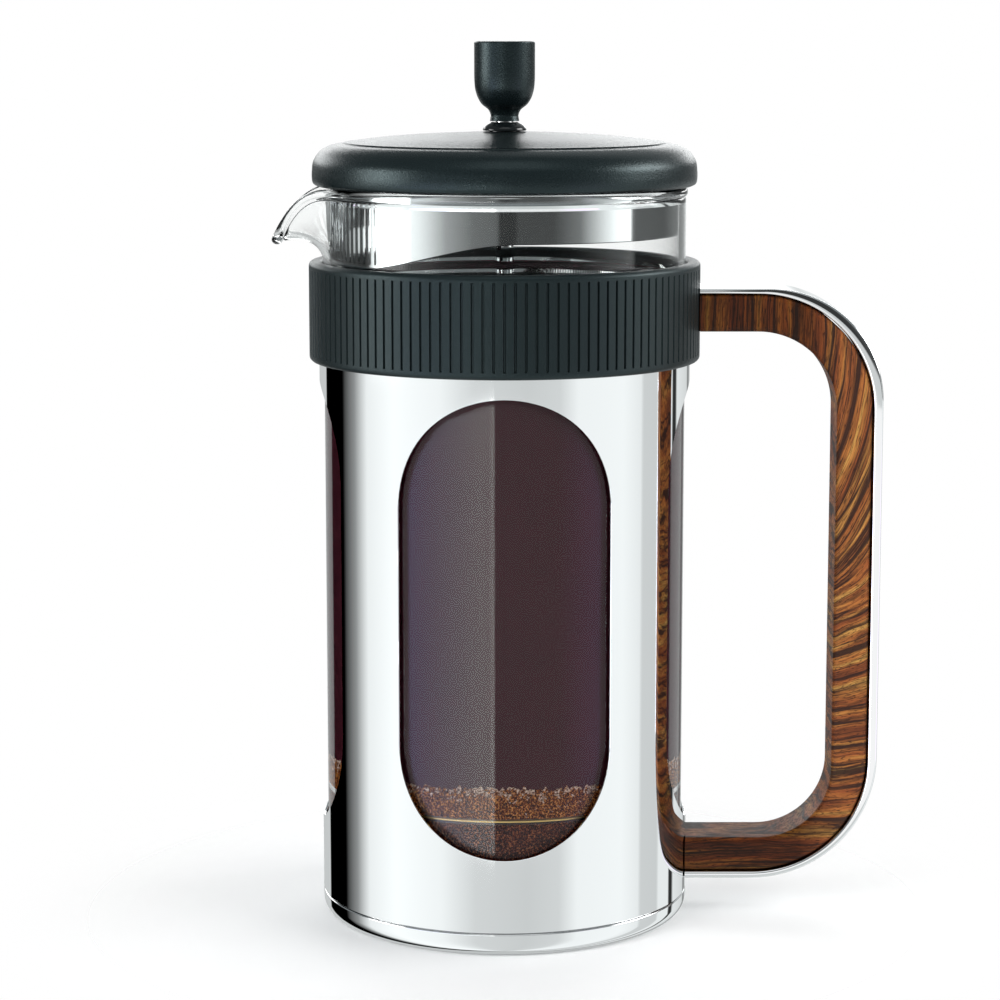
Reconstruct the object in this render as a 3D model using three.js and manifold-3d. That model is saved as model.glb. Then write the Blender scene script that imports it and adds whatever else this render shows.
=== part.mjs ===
// A one-litre french press: a glass beaker in a windowed steel frame with a wooden handle,
// closed by a lid whose plunger presses a sprung filter down through the coffee.
// Millimetres, +Z up, origin at the centre of the flat underside, spout towards -X, handle towards +X.
import * as THREE from "three";
import { mergeVertices } from "three/addons/utils/BufferGeometryUtils.js";
import Module from "manifold-3d";

const wasm = await Module();
wasm.setup();

// ---- fits -------------------------------------------------------------------------------------
const seatGap = 0.3; // between faces that rest on or pass each other
const glassGap = 0.7; // beaker to sleeve, all round
const linerGap = 0.4; // strainer skirt to glass
const filterGap = 0.4; // filter hem to glass
const collarLipGap = 0.4; // collar's inward lip to glass
const cutMargin = 2; // how far a cutter runs past the face that it opens

// ---- driving dimensions -----------------------------------------------------------------------
const frameRadius = 51.5; // outside of the steel sleeve
const sleeveSheet = 0.7;
const baseHeight = 6.5;
const baseCornerRadius = 4.5;
const baseFloor = 2.2;
const baseLipHeight = 2.5; // upstand that centres the sleeve on the base
const baseLipWall = 0.6;
const padThickness = 2.3;
const padInset = 6.1; // pad's edge inside the beaker's wall

const collarDrop = 20.4; // collar's top below the beaker's rim
const collarHeight = 27.5;
const collarWall = 2.4;
const collarLipHeight = 2.5;
const collarEdgeRadius = 1.3;

const windowBottom = 26.95;
const windowDrop = 5.4; // window's top below the collar
const frontWindowHalfAngle = 33.5; // degrees, seen from the axis
const sideWindowHalfAngle = 30;

const glassWall = 1.8;
const glassFloor = 3;
const glassCornerRadius = 8;
const glassTop = 204.9;
const rimBead = 0.55; // how far the fire-polished rim stands proud of the wall
const rimBeadHeight = 2.8;
const spoutHeight = 20.9; // stretch of wall below the rim that bends into the spout
const spoutReach = 15.3; // how far the tip stands out from the wall
const spoutDrop = 15.2; // how far the tip lies below the rim
const spoutHalfAngle = 30; // degrees of the rim that flares, each side of the tip
const spoutBend = 1.6; // how late the wall bends outwards, as a power of the height
const spoutFall = 1.9; // how late it falls
const spoutNarrowing = 2.6; // how much narrower the fall is than the reach

const lidOverhang = 1.6; // lid's edge beyond the sleeve
const lidHeight = 14.6;
const lidEdgeRadius = 1.3;
const lidShoulder = 8.8; // lid's edge to its crown
const lidCrownStep = 0.35;
const lidCreaseHeight = 11.4; // crown edge above the lid's underside
const lidWall = 2;

const linerSheet = 0.6;
const linerBend = 1.5; // bend between the strainer's web and skirt
const linerWebDrop = 3.2; // web above the lid's underside
const linerDepth = 13.2; // skirt below the lid's underside
const strainerExtraDepth = 8; // how much deeper the skirt hangs under the spout
const strainerFlatAngle = 35; // degrees each side of the spout at full depth
const strainerFadeAngle = 95; // degrees each side where the skirt is back at its usual depth
const slotPitchAngle = 2.65;
const slotsEachSide = 17;
const slotWidth = 1.05;
const slotMargin = 1.6; // sheet left below a slot
const slotTopDrop = 3.6; // slot tops below the lid's underside

const rodRadius = 2.5;
const rodChamfer = 0.5;
const guideStemWall = 1.5;
const guideDomeRim = 1.7; // dome's edge beyond the stem
const guideDomeHeight = 2.3;
const guideStemTip = 0.3; // stem past its nut
const guideNutHeight = 3.6;
const guideNutRim = 3.7; // nut's corners beyond the stem
const guideWasherRim = 6.2;
const guideWasherHeight = 0.8;

const knobRadius = 8.36;
const knobHeight = 21.7;
const knobNeckWall = 1.25;
const knobBoreDepth = 16;
const knobEdge = 0.4;
const insertWall = 1.8;
const insertHeight = 9;
const insertDrop = 0.7; // insert's top below the end of the bore

const filterLift = 28.9; // mesh disc above the beaker's floor when the plunger is down
const meshSheet = 0.4;
const meshHemHeight = 0.7;
const meshHemWidth = 1;
const springWire = 1.4; // radius of the coiled rim
const springToHem = 1.2; // spring's outside to the glass side of the hem
const spiralSheet = 0.8;
const spiralFlange = 2.4;
const spiralHoleRadius = 3.4;
const spiralHoleInset = 13.6; // from the plate's edge to the middle of a hole
const spiralHoles = 12;
const crossSheet = 1.4;
const crossRingWidth = 5;
const crossHubRadius = 9;
const crossSpokeWidth = 9;
const crossSpokes = 4;
const plateNutHeight = 5.4;
const plateNutRim = 4.5; // nut's corners beyond the rod
const rodCollarWall = 1.8;
const rodCollarHeight = 3;
const rodTip = 1.2; // rod past the lower nut

const gripWidth = 19;
const gripEdgeRadius = 1.4;
const gripReach = 50.3; // outside of the wood beyond the sleeve
const gripDrop = 9; // top of the wood below the collar's top
const gripBottom = 12.5;
const gripBackThickness = 9.9;
const gripTopThickness = 10.2;
const gripBottomThickness = 9.4;
const gripOuterCorner = 32;
const gripInnerTopCorner = 22;
const gripInnerBottomCorner = 20;
const strapTopThickness = 1.7;
const strapBackThickness = 2.9;
const strapBottomThickness = 2.2;
const strapTopCorner = 31.5;
const strapBottomCorner = 35;

const bracketSheet = 1;
const bracketWidth = 14;
const bracketPlateInset = 1.3; // plate inside the grip's top and bottom faces
const tongueWidth = 8;
const tongueThickness = 4;
const tongueReach = 22; // tongue beyond the sleeve
const screwRadius = 1.7;
const screwHeadRadius = 3.4;
const screwHeadHeight = 1.4;
const screwInset = 8; // screw axis back from the tongue's end
const screwDepth = 1.2; // wood left beyond a screw's tip

const roundSteps = 48; // facets of the large round pieces
const smallSteps = 20;
const arcSteps = 7;
const cornerSteps = 3;

// ---- worked out from those --------------------------------------------------------------------
const sleeveInside = frameRadius - sleeveSheet;
const sleeveBottom = baseHeight + seatGap;
const collarTop = glassTop - collarDrop;
const collarBottom = collarTop - collarHeight;
const collarInside = frameRadius + seatGap;
const collarOutside = collarInside + collarWall;
const sleeveTop = collarTop - collarLipHeight - seatGap;
const windowTop = collarBottom - windowDrop;
const glassRadius = sleeveInside - glassGap;
const glassInside = glassRadius - glassWall;
const padBottom = baseFloor + seatGap;
const padRadius = glassRadius - padInset;
const glassBottom = padBottom + padThickness + seatGap;
const spoutRoot = glassTop - spoutHeight;
const collarLipInside = glassRadius + collarLipGap;
const lidRadius = frameRadius + lidOverhang;
const lidCrownRadius = lidRadius - lidShoulder;
const lidBottom = glassTop + seatGap;
const lidTop = lidBottom + lidHeight;
const lidCrown = lidBottom + lidCreaseHeight;
const linerOutside = glassInside - linerGap;
const linerWeb = lidBottom + linerWebDrop;
const linerBottom = lidBottom - linerDepth;
const stemRadius = rodRadius + seatGap + guideStemWall;
const rodHole = rodRadius + seatGap;
const stemHole = stemRadius + seatGap;
const guideDomeRadius = stemRadius + guideDomeRim;
const guideWasherRadius = stemRadius + guideWasherRim;
const guideNutRadius = stemRadius + guideNutRim;
const domeBottom = lidTop + seatGap;
const knobBottom = domeBottom + guideDomeHeight + seatGap;
const knobTop = knobBottom + knobHeight;
const knobNeckRadius = rodHole + knobNeckWall;
const insertRadius = rodHole + insertWall;
const washerTop = linerWeb - seatGap;
const guideNutTop = washerTop - guideWasherHeight - seatGap;
const guideNutBottom = guideNutTop - guideNutHeight;
const filterHeight = glassBottom + glassFloor + filterLift;
const hemRadius = glassInside - filterGap;
const meshTop = filterHeight + meshHemHeight / 2;
const springCentre = hemRadius - springToHem - springWire;
const spiralRadius = springCentre - springWire - seatGap;
const spiralBottom = meshTop + seatGap;
const springHeight = spiralBottom + springWire;
const spiralTop = spiralBottom + spiralFlange;
const spiralHoleCircle = spiralRadius - spiralHoleInset;
const rodCollarRadius = rodHole + rodCollarWall;
const crossTop = filterHeight - meshHemHeight / 2 - seatGap;
const crossRadius = springCentre - seatGap;
const plateNutRadius = rodRadius + plateNutRim;
const plateNutTop = crossTop - crossSheet - seatGap;
const rodBottom = plateNutTop - plateNutHeight - rodTip;
const gripBack = frameRadius + gripReach;
const gripTop = collarTop - gripDrop;
const gripInnerBack = gripBack - gripBackThickness;
const gripInnerTop = gripTop - gripTopThickness;
const gripInnerBottom = gripBottom + gripBottomThickness;
const strapTop = gripTop + strapTopThickness;
const strapBack = gripBack + strapBackThickness;
const strapBottom = gripBottom - strapBottomThickness;
const upperArmEnd = collarOutside + seatGap;
const lowerArmEnd = frameRadius + seatGap;
const bracketInside = frameRadius + seatGap;
const bracketOutside = bracketInside + bracketSheet;
const tongueEnd = frameRadius + tongueReach;
const screwAxis = tongueEnd - screwInset;
const upperTongueMid = gripTop - gripTopThickness / 2;
const lowerTongueMid = gripBottom + gripBottomThickness / 2;

// ---- geometry helpers -------------------------------------------------------------------------
const degrees = THREE.MathUtils.degToRad;

// One closed surface: vertices joined, collapsed triangles dropped, faces turned outwards.
function weld(geometry) {
  const bare = geometry.index ? geometry.toNonIndexed() : geometry.clone();
  bare.deleteAttribute("normal");
  bare.deleteAttribute("uv");
  bare.clearGroups();
  const merged = mergeVertices(bare, 1e-3);
  const corners = merged.index.array;
  const kept = [];
  for (let i = 0; i < corners.length; i += 3) {
    const [a, b, c] = [corners[i], corners[i + 1], corners[i + 2]];
    if (a !== b && b !== c && c !== a) kept.push(a, b, c);
  }
  merged.setIndex(kept);
  return signedVolume(merged) < 0 ? flipped(merged) : merged;
}

function signedVolume(geometry) {
  const place = geometry.attributes.position;
  const corners = geometry.index.array;
  const [a, b, c] = [new THREE.Vector3(), new THREE.Vector3(), new THREE.Vector3()];
  let volume = 0;
  for (let i = 0; i < corners.length; i += 3) {
    a.fromBufferAttribute(place, corners[i]);
    b.fromBufferAttribute(place, corners[i + 1]);
    c.fromBufferAttribute(place, corners[i + 2]);
    volume += a.dot(b.cross(c)) / 6;
  }
  return volume;
}

function flipped(geometry) {
  const corners = Array.from(geometry.index.array);
  for (let i = 0; i < corners.length; i += 3) {
    [corners[i + 1], corners[i + 2]] = [corners[i + 2], corners[i + 1]];
  }
  geometry.setIndex(corners);
  return geometry;
}

function toSolid(geometry) {
  const closed = weld(geometry);
  return new wasm.Manifold(
    new wasm.Mesh({
      numProp: 3,
      vertProperties: closed.attributes.position.array,
      triVerts: new Uint32Array(closed.index.array),
    }),
  );
}

function toGeometry(solid) {
  const mesh = solid.getMesh();
  const geometry = new THREE.BufferGeometry();
  geometry.setAttribute("position", new THREE.BufferAttribute(mesh.vertProperties, 3));
  geometry.setIndex(Array.from(mesh.triVerts));
  return geometry;
}

// A closed profile of [radius, height] points turned about Z.
function turned(profile, steps = roundSteps) {
  const points = profile.map(([r, z]) => new THREE.Vector2(r, z));
  const [first, last] = [points[0], points[points.length - 1]];
  if (first.x > 0 || last.x > 0) points.push(first.clone());
  return weld(new THREE.LatheGeometry(points, steps).rotateX(Math.PI / 2));
}

function tube(inside, outside, bottom, top, steps = roundSteps) {
  const profile = [[inside, bottom], [outside, bottom], [outside, top], [inside, top]];
  return turned(profile, steps);
}

function rod(radius, bottom, top, steps = smallSteps) {
  return turned([[0, bottom], [radius, bottom], [radius, top], [0, top]], steps);
}

// A quarter-turn or other stretch of a circle as profile points, angles in degrees.
function arc(centreR, centreZ, radius, from, to, steps = cornerSteps) {
  const points = [];
  for (let i = 0; i <= steps; i++) {
    const angle = degrees(from + ((to - from) * i) / steps);
    points.push([centreR + radius * Math.cos(angle), centreZ + radius * Math.sin(angle)]);
  }
  return points;
}

function block(x0, x1, y0, y1, z0, z1) {
  const geometry = new THREE.BoxGeometry(x1 - x0, y1 - y0, z1 - z0);
  return toSolid(geometry.translate((x0 + x1) / 2, (y0 + y1) / 2, (z0 + z1) / 2));
}

// A shape drawn in (x, z), as deep as `width` along Y and centred on it.
function plateAlongY(shape, width, edge = 0) {
  const geometry = new THREE.ExtrudeGeometry(shape, {
    depth: width - 2 * edge,
    curveSegments: arcSteps,
    bevelEnabled: edge > 0,
    bevelThickness: edge,
    bevelSize: edge,
    bevelOffset: -edge,
    bevelSegments: 2,
  });
  return geometry.translate(0, 0, edge - width / 2).rotateX(Math.PI / 2);
}

function smoothStep(t) {
  const x = THREE.MathUtils.clamp(t, 0, 1);
  return x * x * (3 - 2 * x);
}

// ---- frame ------------------------------------------------------------------------------------
function basePan() {
  const lipOutside = sleeveInside - seatGap;
  const lipInside = lipOutside - baseLipWall;
  return turned([
    [0, 0],
    ...arc(frameRadius - baseCornerRadius, baseCornerRadius, baseCornerRadius, -90, 0),
    [frameRadius, baseHeight],
    [lipOutside, baseHeight],
    [lipOutside, baseHeight + baseLipHeight],
    [lipInside, baseHeight + baseLipHeight],
    [lipInside, baseFloor + baseCornerRadius],
    [lipInside - baseCornerRadius / 2, baseFloor],
    [0, baseFloor],
  ]);
}

function basePad() {
  return rod(padRadius, padBottom, padBottom + padThickness, roundSteps);
}

// The window's outline as it looks from straight ahead, once its flat stadium is rolled round the sleeve.
function rolledWindow(halfAngle) {
  const halfWidth = frameRadius * degrees(halfAngle);
  const steps = 2 * arcSteps;
  const shape = new THREE.Shape();
  const ends = [[windowTop - halfWidth, 0], [windowBottom + halfWidth, Math.PI]];
  const points = ends.flatMap(([z, start]) =>
    Array.from({ length: steps + 1 }, (_, i) => {
      const angle = start + (Math.PI * i) / steps;
      const alongSheet = halfWidth * Math.cos(angle);
      const x = frameRadius * Math.sin(alongSheet / frameRadius);
      return new THREE.Vector2(x, z + halfWidth * Math.sin(angle));
    }),
  );
  shape.setFromPoints(points);
  return plateAlongY(shape, 2 * (frameRadius + cutMargin));
}

function sleeve() {
  const front = toSolid(rolledWindow(frontWindowHalfAngle));
  const side = toSolid(rolledWindow(sideWindowHalfAngle).rotateZ(Math.PI / 2));
  const wall = toSolid(tube(sleeveInside, frameRadius, sleeveBottom, sleeveTop));
  return toGeometry(wall.subtract(front).subtract(side));
}

function collarBody() {
  const r = collarEdgeRadius;
  return turned([
    [collarInside, collarBottom],
    ...arc(collarOutside - r, collarBottom + r, r, -90, 0),
    ...arc(collarOutside - r, collarTop - r, r, 0, 90),
    ...arc(collarLipInside + r / 2, collarTop - r / 2, r / 2, 90, 180, 2),
    [collarLipInside, sleeveTop + seatGap],
    [collarInside, sleeveTop + seatGap],
  ]);
}

// A curved plate on the sleeve with a tongue that reaches into the wood.
function bracketShape(plateBottom, plateTop, tongueMid, grow) {
  const halfWidth = bracketWidth / 2 + grow;
  const [bottom, top] = [plateBottom - grow, plateTop + grow];
  const ring = toSolid(tube(bracketInside - grow, bracketOutside + grow, bottom, top));
  const patch = block(0, 2 * frameRadius, -halfWidth, halfWidth, bottom, top);
  const halfThickness = tongueThickness / 2 + grow;
  const tongueHalf = tongueWidth / 2 + grow;
  const start = (bracketInside + bracketOutside) / 2;
  const tongue = block(
    start,
    tongueEnd + grow,
    -tongueHalf,
    tongueHalf,
    tongueMid - halfThickness,
    tongueMid + halfThickness,
  );
  return ring.intersect(patch).add(tongue);
}

function upperBracketShape(grow = 0) {
  return bracketShape(gripInnerTop, gripTop, upperTongueMid, grow);
}

function lowerBracketShape(grow = 0) {
  const bottom = gripBottom + bracketPlateInset;
  const top = gripInnerBottom - bracketPlateInset;
  return bracketShape(bottom, top, lowerTongueMid, grow);
}

function screwHole(bottom, top) {
  return toSolid(rod(screwRadius + seatGap, bottom, top).translate(screwAxis, 0, 0));
}

function bracket(shape, tongueMid) {
  const half = tongueThickness / 2 + cutMargin;
  return toGeometry(shape.subtract(screwHole(tongueMid - half, tongueMid + half)));
}

function collar() {
  return toGeometry(toSolid(collarBody()).subtract(upperBracketShape(seatGap)));
}

// ---- handle -----------------------------------------------------------------------------------
// One side of the hoop: from the frame out along the top, round the back and in along the bottom.
function hoopSide({ back, top, bottom, topCorner, bottomCorner }) {
  const path = new THREE.Path();
  path.moveTo(0, top);
  path.lineTo(back - topCorner, top);
  path.absarc(back - topCorner, top - topCorner, topCorner, Math.PI / 2, 0, true);
  path.absarc(back - bottomCorner, bottom + bottomCorner, bottomCorner, 0, -Math.PI / 2, true);
  path.lineTo(0, bottom);
  return path.getPoints(arcSteps);
}

function hoopShape(outer, inner) {
  return new THREE.Shape([...hoopSide(outer), ...hoopSide(inner).reverse()]);
}

// Cuts the hoop's ends to the collar above and to the sleeve below.
function endCutter() {
  const middle = (gripTop + gripBottom) / 2;
  const above = toSolid(rod(upperArmEnd, middle - cutMargin, strapTop + cutMargin, roundSteps));
  const below = toSolid(rod(lowerArmEnd, strapBottom - cutMargin, middle, roundSteps));
  return above.add(below);
}

function handleGrip() {
  const outer = {
    back: gripBack,
    top: gripTop,
    bottom: gripBottom,
    topCorner: gripOuterCorner,
    bottomCorner: gripOuterCorner,
  };
  const inner = {
    back: gripInnerBack,
    top: gripInnerTop,
    bottom: gripInnerBottom,
    topCorner: gripInnerTopCorner,
    bottomCorner: gripInnerBottomCorner,
  };
  const counterboreTop = gripInnerTop + screwHeadHeight + 2 * seatGap;
  const headSpace = rod(screwHeadRadius + seatGap, gripInnerTop - cutMargin, counterboreTop);
  const cuts = [
    endCutter(),
    upperBracketShape(seatGap),
    lowerBracketShape(seatGap),
    toSolid(headSpace.translate(screwAxis, 0, 0)),
    screwHole(gripInnerTop, gripTop - screwDepth + seatGap),
    screwHole(gripBottom - cutMargin, gripInnerBottom - screwDepth + seatGap),
  ];
  const wood = toSolid(plateAlongY(hoopShape(outer, inner), gripWidth, gripEdgeRadius));
  return toGeometry(cuts.reduce((left, cut) => left.subtract(cut), wood));
}

function handleStrap() {
  const outer = {
    back: strapBack,
    top: strapTop,
    bottom: strapBottom,
    topCorner: strapTopCorner,
    bottomCorner: strapBottomCorner,
  };
  const inner = {
    back: gripBack + seatGap,
    top: gripTop + seatGap,
    bottom: gripBottom - seatGap,
    topCorner: gripOuterCorner + seatGap,
    bottomCorner: gripOuterCorner + seatGap,
  };
  const metal = toSolid(plateAlongY(hoopShape(outer, inner), gripWidth));
  const hole = screwHole(strapBottom - cutMargin, gripBottom);
  return toGeometry(metal.subtract(endCutter()).subtract(hole));
}

// A pan-headed screw standing on its head.
function screw(headBottom, tip) {
  const shoulder = headBottom + screwHeadHeight;
  const profile = [
    [0, headBottom],
    [screwHeadRadius - screwHeadHeight / 2, headBottom],
    [screwHeadRadius, headBottom + screwHeadHeight / 2],
    [screwHeadRadius, shoulder],
    [screwRadius, shoulder],
    [screwRadius, tip - screwRadius],
    [0, tip],
  ];
  return turned(profile, smallSteps).translate(screwAxis, 0, 0);
}

// ---- beaker -----------------------------------------------------------------------------------
// Where a point of the straight wall goes in the spout: `offset` is outwards from the wall's middle.
function spoutPoint(height, offset, flare) {
  const along = (height - spoutRoot) / spoutHeight;
  const reach = spoutReach * flare;
  const drop = spoutDrop * flare ** spoutNarrowing;
  const middle = glassRadius - glassWall / 2;
  const slopeR = (reach * spoutBend * along ** (spoutBend - 1)) / spoutHeight;
  const slopeZ = 1 - (drop * spoutFall * along ** (spoutFall - 1)) / spoutHeight;
  const length = Math.hypot(slopeR, slopeZ);
  const r = middle + reach * along ** spoutBend + (offset * slopeZ) / length;
  const z = height - drop * along ** spoutFall - (offset * slopeR) / length;
  return [r, z];
}

function glassBeaker() {
  const bead = rimBeadHeight / 4;
  const lipSteps = 5;
  const outer = [];
  const inner = [];
  const straightTop = glassTop - rimBeadHeight;
  for (let i = 0; i <= lipSteps; i++) {
    const z = spoutRoot + ((straightTop - spoutRoot) * i) / lipSteps;
    outer.push([glassRadius, z]);
    inner.unshift([glassInside, z]);
  }
  const floorCorner = glassCornerRadius - glassWall;
  const profile = [
    [0, glassBottom],
    ...arc(glassRadius - glassCornerRadius, glassBottom + glassCornerRadius, glassCornerRadius, -90, 0),
    ...outer,
    [glassRadius + rimBead, straightTop + bead],
    [glassRadius + rimBead, glassTop - bead],
    [glassRadius - bead / 2, glassTop],
    [glassInside + bead / 2, glassTop],
    [glassInside, glassTop - bead],
    ...inner,
    ...arc(glassInside - floorCorner, glassBottom + glassFloor + floorCorner, floorCorner, 0, -90),
    [0, glassBottom + glassFloor],
  ];
  const geometry = turned(profile);
  const place = geometry.attributes.position;
  const middle = glassRadius - glassWall / 2;
  for (let i = 0; i < place.count; i++) {
    const [x, y, z] = [place.getX(i), place.getY(i), place.getZ(i)];
    const angle = Math.atan2(y, -x);
    const share = Math.min(Math.abs(angle) / degrees(spoutHalfAngle), 1);
    const flare = Math.cos((share * Math.PI) / 2) ** 3;
    if (z > spoutRoot && flare > 0) {
      const [r, newZ] = spoutPoint(z, Math.hypot(x, y) - middle, flare);
      place.setXYZ(i, -r * Math.cos(angle), r * Math.sin(angle), newZ);
    }
  }
  return geometry;
}

// ---- lid --------------------------------------------------------------------------------------
function lidShell() {
  const edgeFoot = lidRadius - lidEdgeRadius;
  const edgeMiddle = lidBottom + 2 * lidEdgeRadius;
  const seatInside = linerOutside + seatGap;
  const landing = guideDomeRadius + 1;
  const webSeat = linerWeb + linerSheet + seatGap;
  const shoulder = [[0, 0.36], [0.05, 0.6], [0.255, 0.825], [0.59, 0.955]];
  return turned([
    [seatInside, lidBottom],
    ...arc(edgeFoot, lidBottom + lidEdgeRadius, lidEdgeRadius, -90, 0),
    [lidRadius, edgeMiddle],
    ...shoulder.map(([inwards, up]) => [lidRadius - inwards * lidShoulder, lidBottom + up * lidCreaseHeight]),
    [lidCrownRadius, lidCrown],
    [lidCrownRadius - lidCrownStep, lidCrown + lidCrownStep],
    [landing, lidTop],
    [stemHole, lidTop],
    [stemHole, webSeat],
    [guideNutRadius, webSeat],
    [guideNutRadius + 1, lidTop - 1.5 * lidWall],
    [lidCrownRadius - 2 * lidWall, lidCrown - lidWall],
    [seatInside, lidBottom + lidCreaseHeight / 2],
  ]);
}

// Underside of the strainer skirt, which hangs deeper below the spout.
function skirtBottom(angleFromSpout) {
  const angle = Math.abs(THREE.MathUtils.radToDeg(angleFromSpout));
  const fade = (strainerFadeAngle - angle) / (strainerFadeAngle - strainerFlatAngle);
  return linerBottom - strainerExtraDepth * smoothStep(fade);
}

function lidLiner() {
  const inside = linerOutside - linerSheet;
  const outsideBend = linerBend + linerSheet / 2;
  const profile = [
    [stemHole, linerWeb],
    [inside - linerBend, linerWeb],
    [inside, linerWeb - linerBend],
    [inside, linerBottom],
    [linerOutside, linerBottom],
    [linerOutside, linerWeb + linerSheet - outsideBend],
    [linerOutside - outsideBend, linerWeb + linerSheet],
    [stemHole, linerWeb + linerSheet],
  ];
  const cup = turned(profile);
  const place = cup.attributes.position;
  for (let i = 0; i < place.count; i++) {
    if (place.getZ(i) < linerBottom + seatGap) {
      place.setZ(i, skirtBottom(Math.atan2(place.getY(i), -place.getX(i))));
    }
  }
  const slots = [];
  for (let n = -slotsEachSide; n <= slotsEachSide; n++) {
    const angle = degrees(n * slotPitchAngle);
    const bottom = skirtBottom(angle) + slotMargin;
    const top = lidBottom - slotTopDrop;
    const slot = new THREE.BoxGeometry(4 * linerSheet, slotWidth, top - bottom);
    slot.translate(linerSheet / 2 - linerOutside, 0, (top + bottom) / 2);
    slots.push(toSolid(slot.rotateZ(-angle)));
  }
  return toGeometry(slots.reduce((left, slot) => left.subtract(slot), toSolid(cup)));
}

// The domed bush that the rod slides in; its stem holds lid and strainer together.
function rodGuide() {
  const stemBottom = guideNutBottom - guideStemTip;
  const dome = [[0, 0.13], [0.19, 0.52], [0.53, 0.83], [0.82, 1]];
  const width = guideDomeRadius - rodHole;
  return turned([
    [rodHole, stemBottom],
    [stemRadius, stemBottom],
    [stemRadius, domeBottom],
    [guideDomeRadius, domeBottom],
    ...dome.map(([inwards, up]) => [guideDomeRadius - inwards * width, domeBottom + up * guideDomeHeight]),
    [rodHole, domeBottom + guideDomeHeight],
  ], smallSteps);
}

function guideWasher() {
  return tube(stemHole, guideWasherRadius, washerTop - guideWasherHeight, washerTop, smallSteps);
}

function hexNut(cornerRadius, hole, bottom, top) {
  const hex = toSolid(rod(cornerRadius, bottom, top, 6));
  const bore = toSolid(rod(hole, bottom - cutMargin, top + cutMargin));
  return toGeometry(hex.subtract(bore));
}

// ---- plunger ----------------------------------------------------------------------------------
function knob() {
  const boreTop = knobBottom + knobBoreDepth;
  const cavityTop = boreTop - insertDrop + seatGap;
  const cavityBottom = cavityTop - insertHeight - 2 * seatGap;
  const cavityRadius = insertRadius + seatGap;
  const flare = knobRadius - knobNeckRadius;
  const neck = [[-0.05, 0.08], [0.12, 0.15], [0.5, 0.21]];
  const belly = [[0.72, 0.275], [0.85, 0.335], [0.965, 0.425], [1, 0.525]];
  return turned([
    [rodHole, knobBottom],
    [knobNeckRadius, knobBottom],
    ...[...neck, ...belly].map(([outwards, up]) => [
      knobNeckRadius + outwards * flare,
      knobBottom + up * knobHeight,
    ]),
    [knobRadius, knobTop - knobEdge],
    [knobRadius - knobEdge, knobTop],
    [0, knobTop],
    [0, boreTop],
    [rodHole, boreTop],
    [rodHole, cavityTop],
    [cavityRadius, cavityTop],
    [cavityRadius, cavityBottom],
    [rodHole, cavityBottom],
  ], smallSteps);
}

function knobInsert() {
  const top = knobBottom + knobBoreDepth - insertDrop;
  return tube(rodHole, insertRadius, top - insertHeight, top, smallSteps);
}

function plungerRod() {
  const top = knobBottom + knobBoreDepth - seatGap;
  const profile = [
    [0, rodBottom],
    [rodRadius - rodChamfer, rodBottom],
    [rodRadius, rodBottom + rodChamfer],
    [rodRadius, top - rodChamfer],
    [rodRadius - rodChamfer, top],
    [0, top],
  ];
  return turned(profile, smallSteps);
}

function rodCollar() {
  const bottom = spiralTop + seatGap;
  return tube(rodHole, rodCollarRadius, bottom, bottom + rodCollarHeight, smallSteps);
}

function roundHoles(count, circle, radius, bottom, top) {
  return Array.from({ length: count }, (_, i) => {
    const angle = (2 * Math.PI * i) / count;
    const hole = rod(radius, bottom, top, 2 * arcSteps);
    return toSolid(hole.translate(circle * Math.cos(angle), circle * Math.sin(angle), 0));
  });
}

function spiralPlate() {
  const wall = spiralRadius - spiralSheet;
  const plate = toSolid(turned([
    [rodHole, spiralTop - spiralSheet],
    [wall, spiralTop - spiralSheet],
    [wall, spiralBottom],
    [spiralRadius, spiralBottom],
    [spiralRadius, spiralTop],
    [rodHole, spiralTop],
  ]));
  const above = spiralTop + cutMargin;
  const holes = roundHoles(spiralHoles, spiralHoleCircle, spiralHoleRadius, spiralBottom, above);
  return toGeometry(holes.reduce((left, hole) => left.subtract(hole), plate));
}

function rimSpring() {
  const points = arc(springCentre, springHeight, springWire, 0, 360, arcSteps);
  points.pop();
  return turned(points);
}

function meshFilter() {
  const half = meshHemHeight / 2;
  const hemInside = hemRadius - meshHemWidth;
  return turned([
    [rodHole, filterHeight - meshSheet / 2],
    [hemInside, filterHeight - meshSheet / 2],
    [hemInside, filterHeight - half],
    [hemRadius, filterHeight - half],
    [hemRadius, filterHeight + half],
    [hemInside, filterHeight + half],
    [hemInside, filterHeight + meshSheet / 2],
    [rodHole, filterHeight + meshSheet / 2],
  ]);
}

function crossPlate() {
  const bottom = crossTop - crossSheet;
  const ring = toSolid(tube(crossRadius - crossRingWidth, crossRadius, bottom, crossTop));
  const hub = toSolid(rod(crossHubRadius, bottom, crossTop));
  const bore = toSolid(rod(rodHole, bottom - cutMargin, crossTop + cutMargin));
  const reach = crossRadius - crossRingWidth / 2;
  const spokes = Array.from({ length: crossSpokes }, (_, i) => {
    const spoke = new THREE.BoxGeometry(reach, crossSpokeWidth, crossSheet);
    spoke.translate(reach / 2, 0, (bottom + crossTop) / 2);
    return toSolid(spoke.rotateZ((2 * Math.PI * i) / crossSpokes));
  });
  const plate = spokes.reduce((joined, spoke) => joined.add(spoke), ring.add(hub));
  return toGeometry(plate.subtract(bore));
}

// ---- finishes ---------------------------------------------------------------------------------
function finish(color, roughness, metalness, more = {}) {
  return new THREE.MeshStandardMaterial({ color, roughness, metalness, ...more });
}

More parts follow.
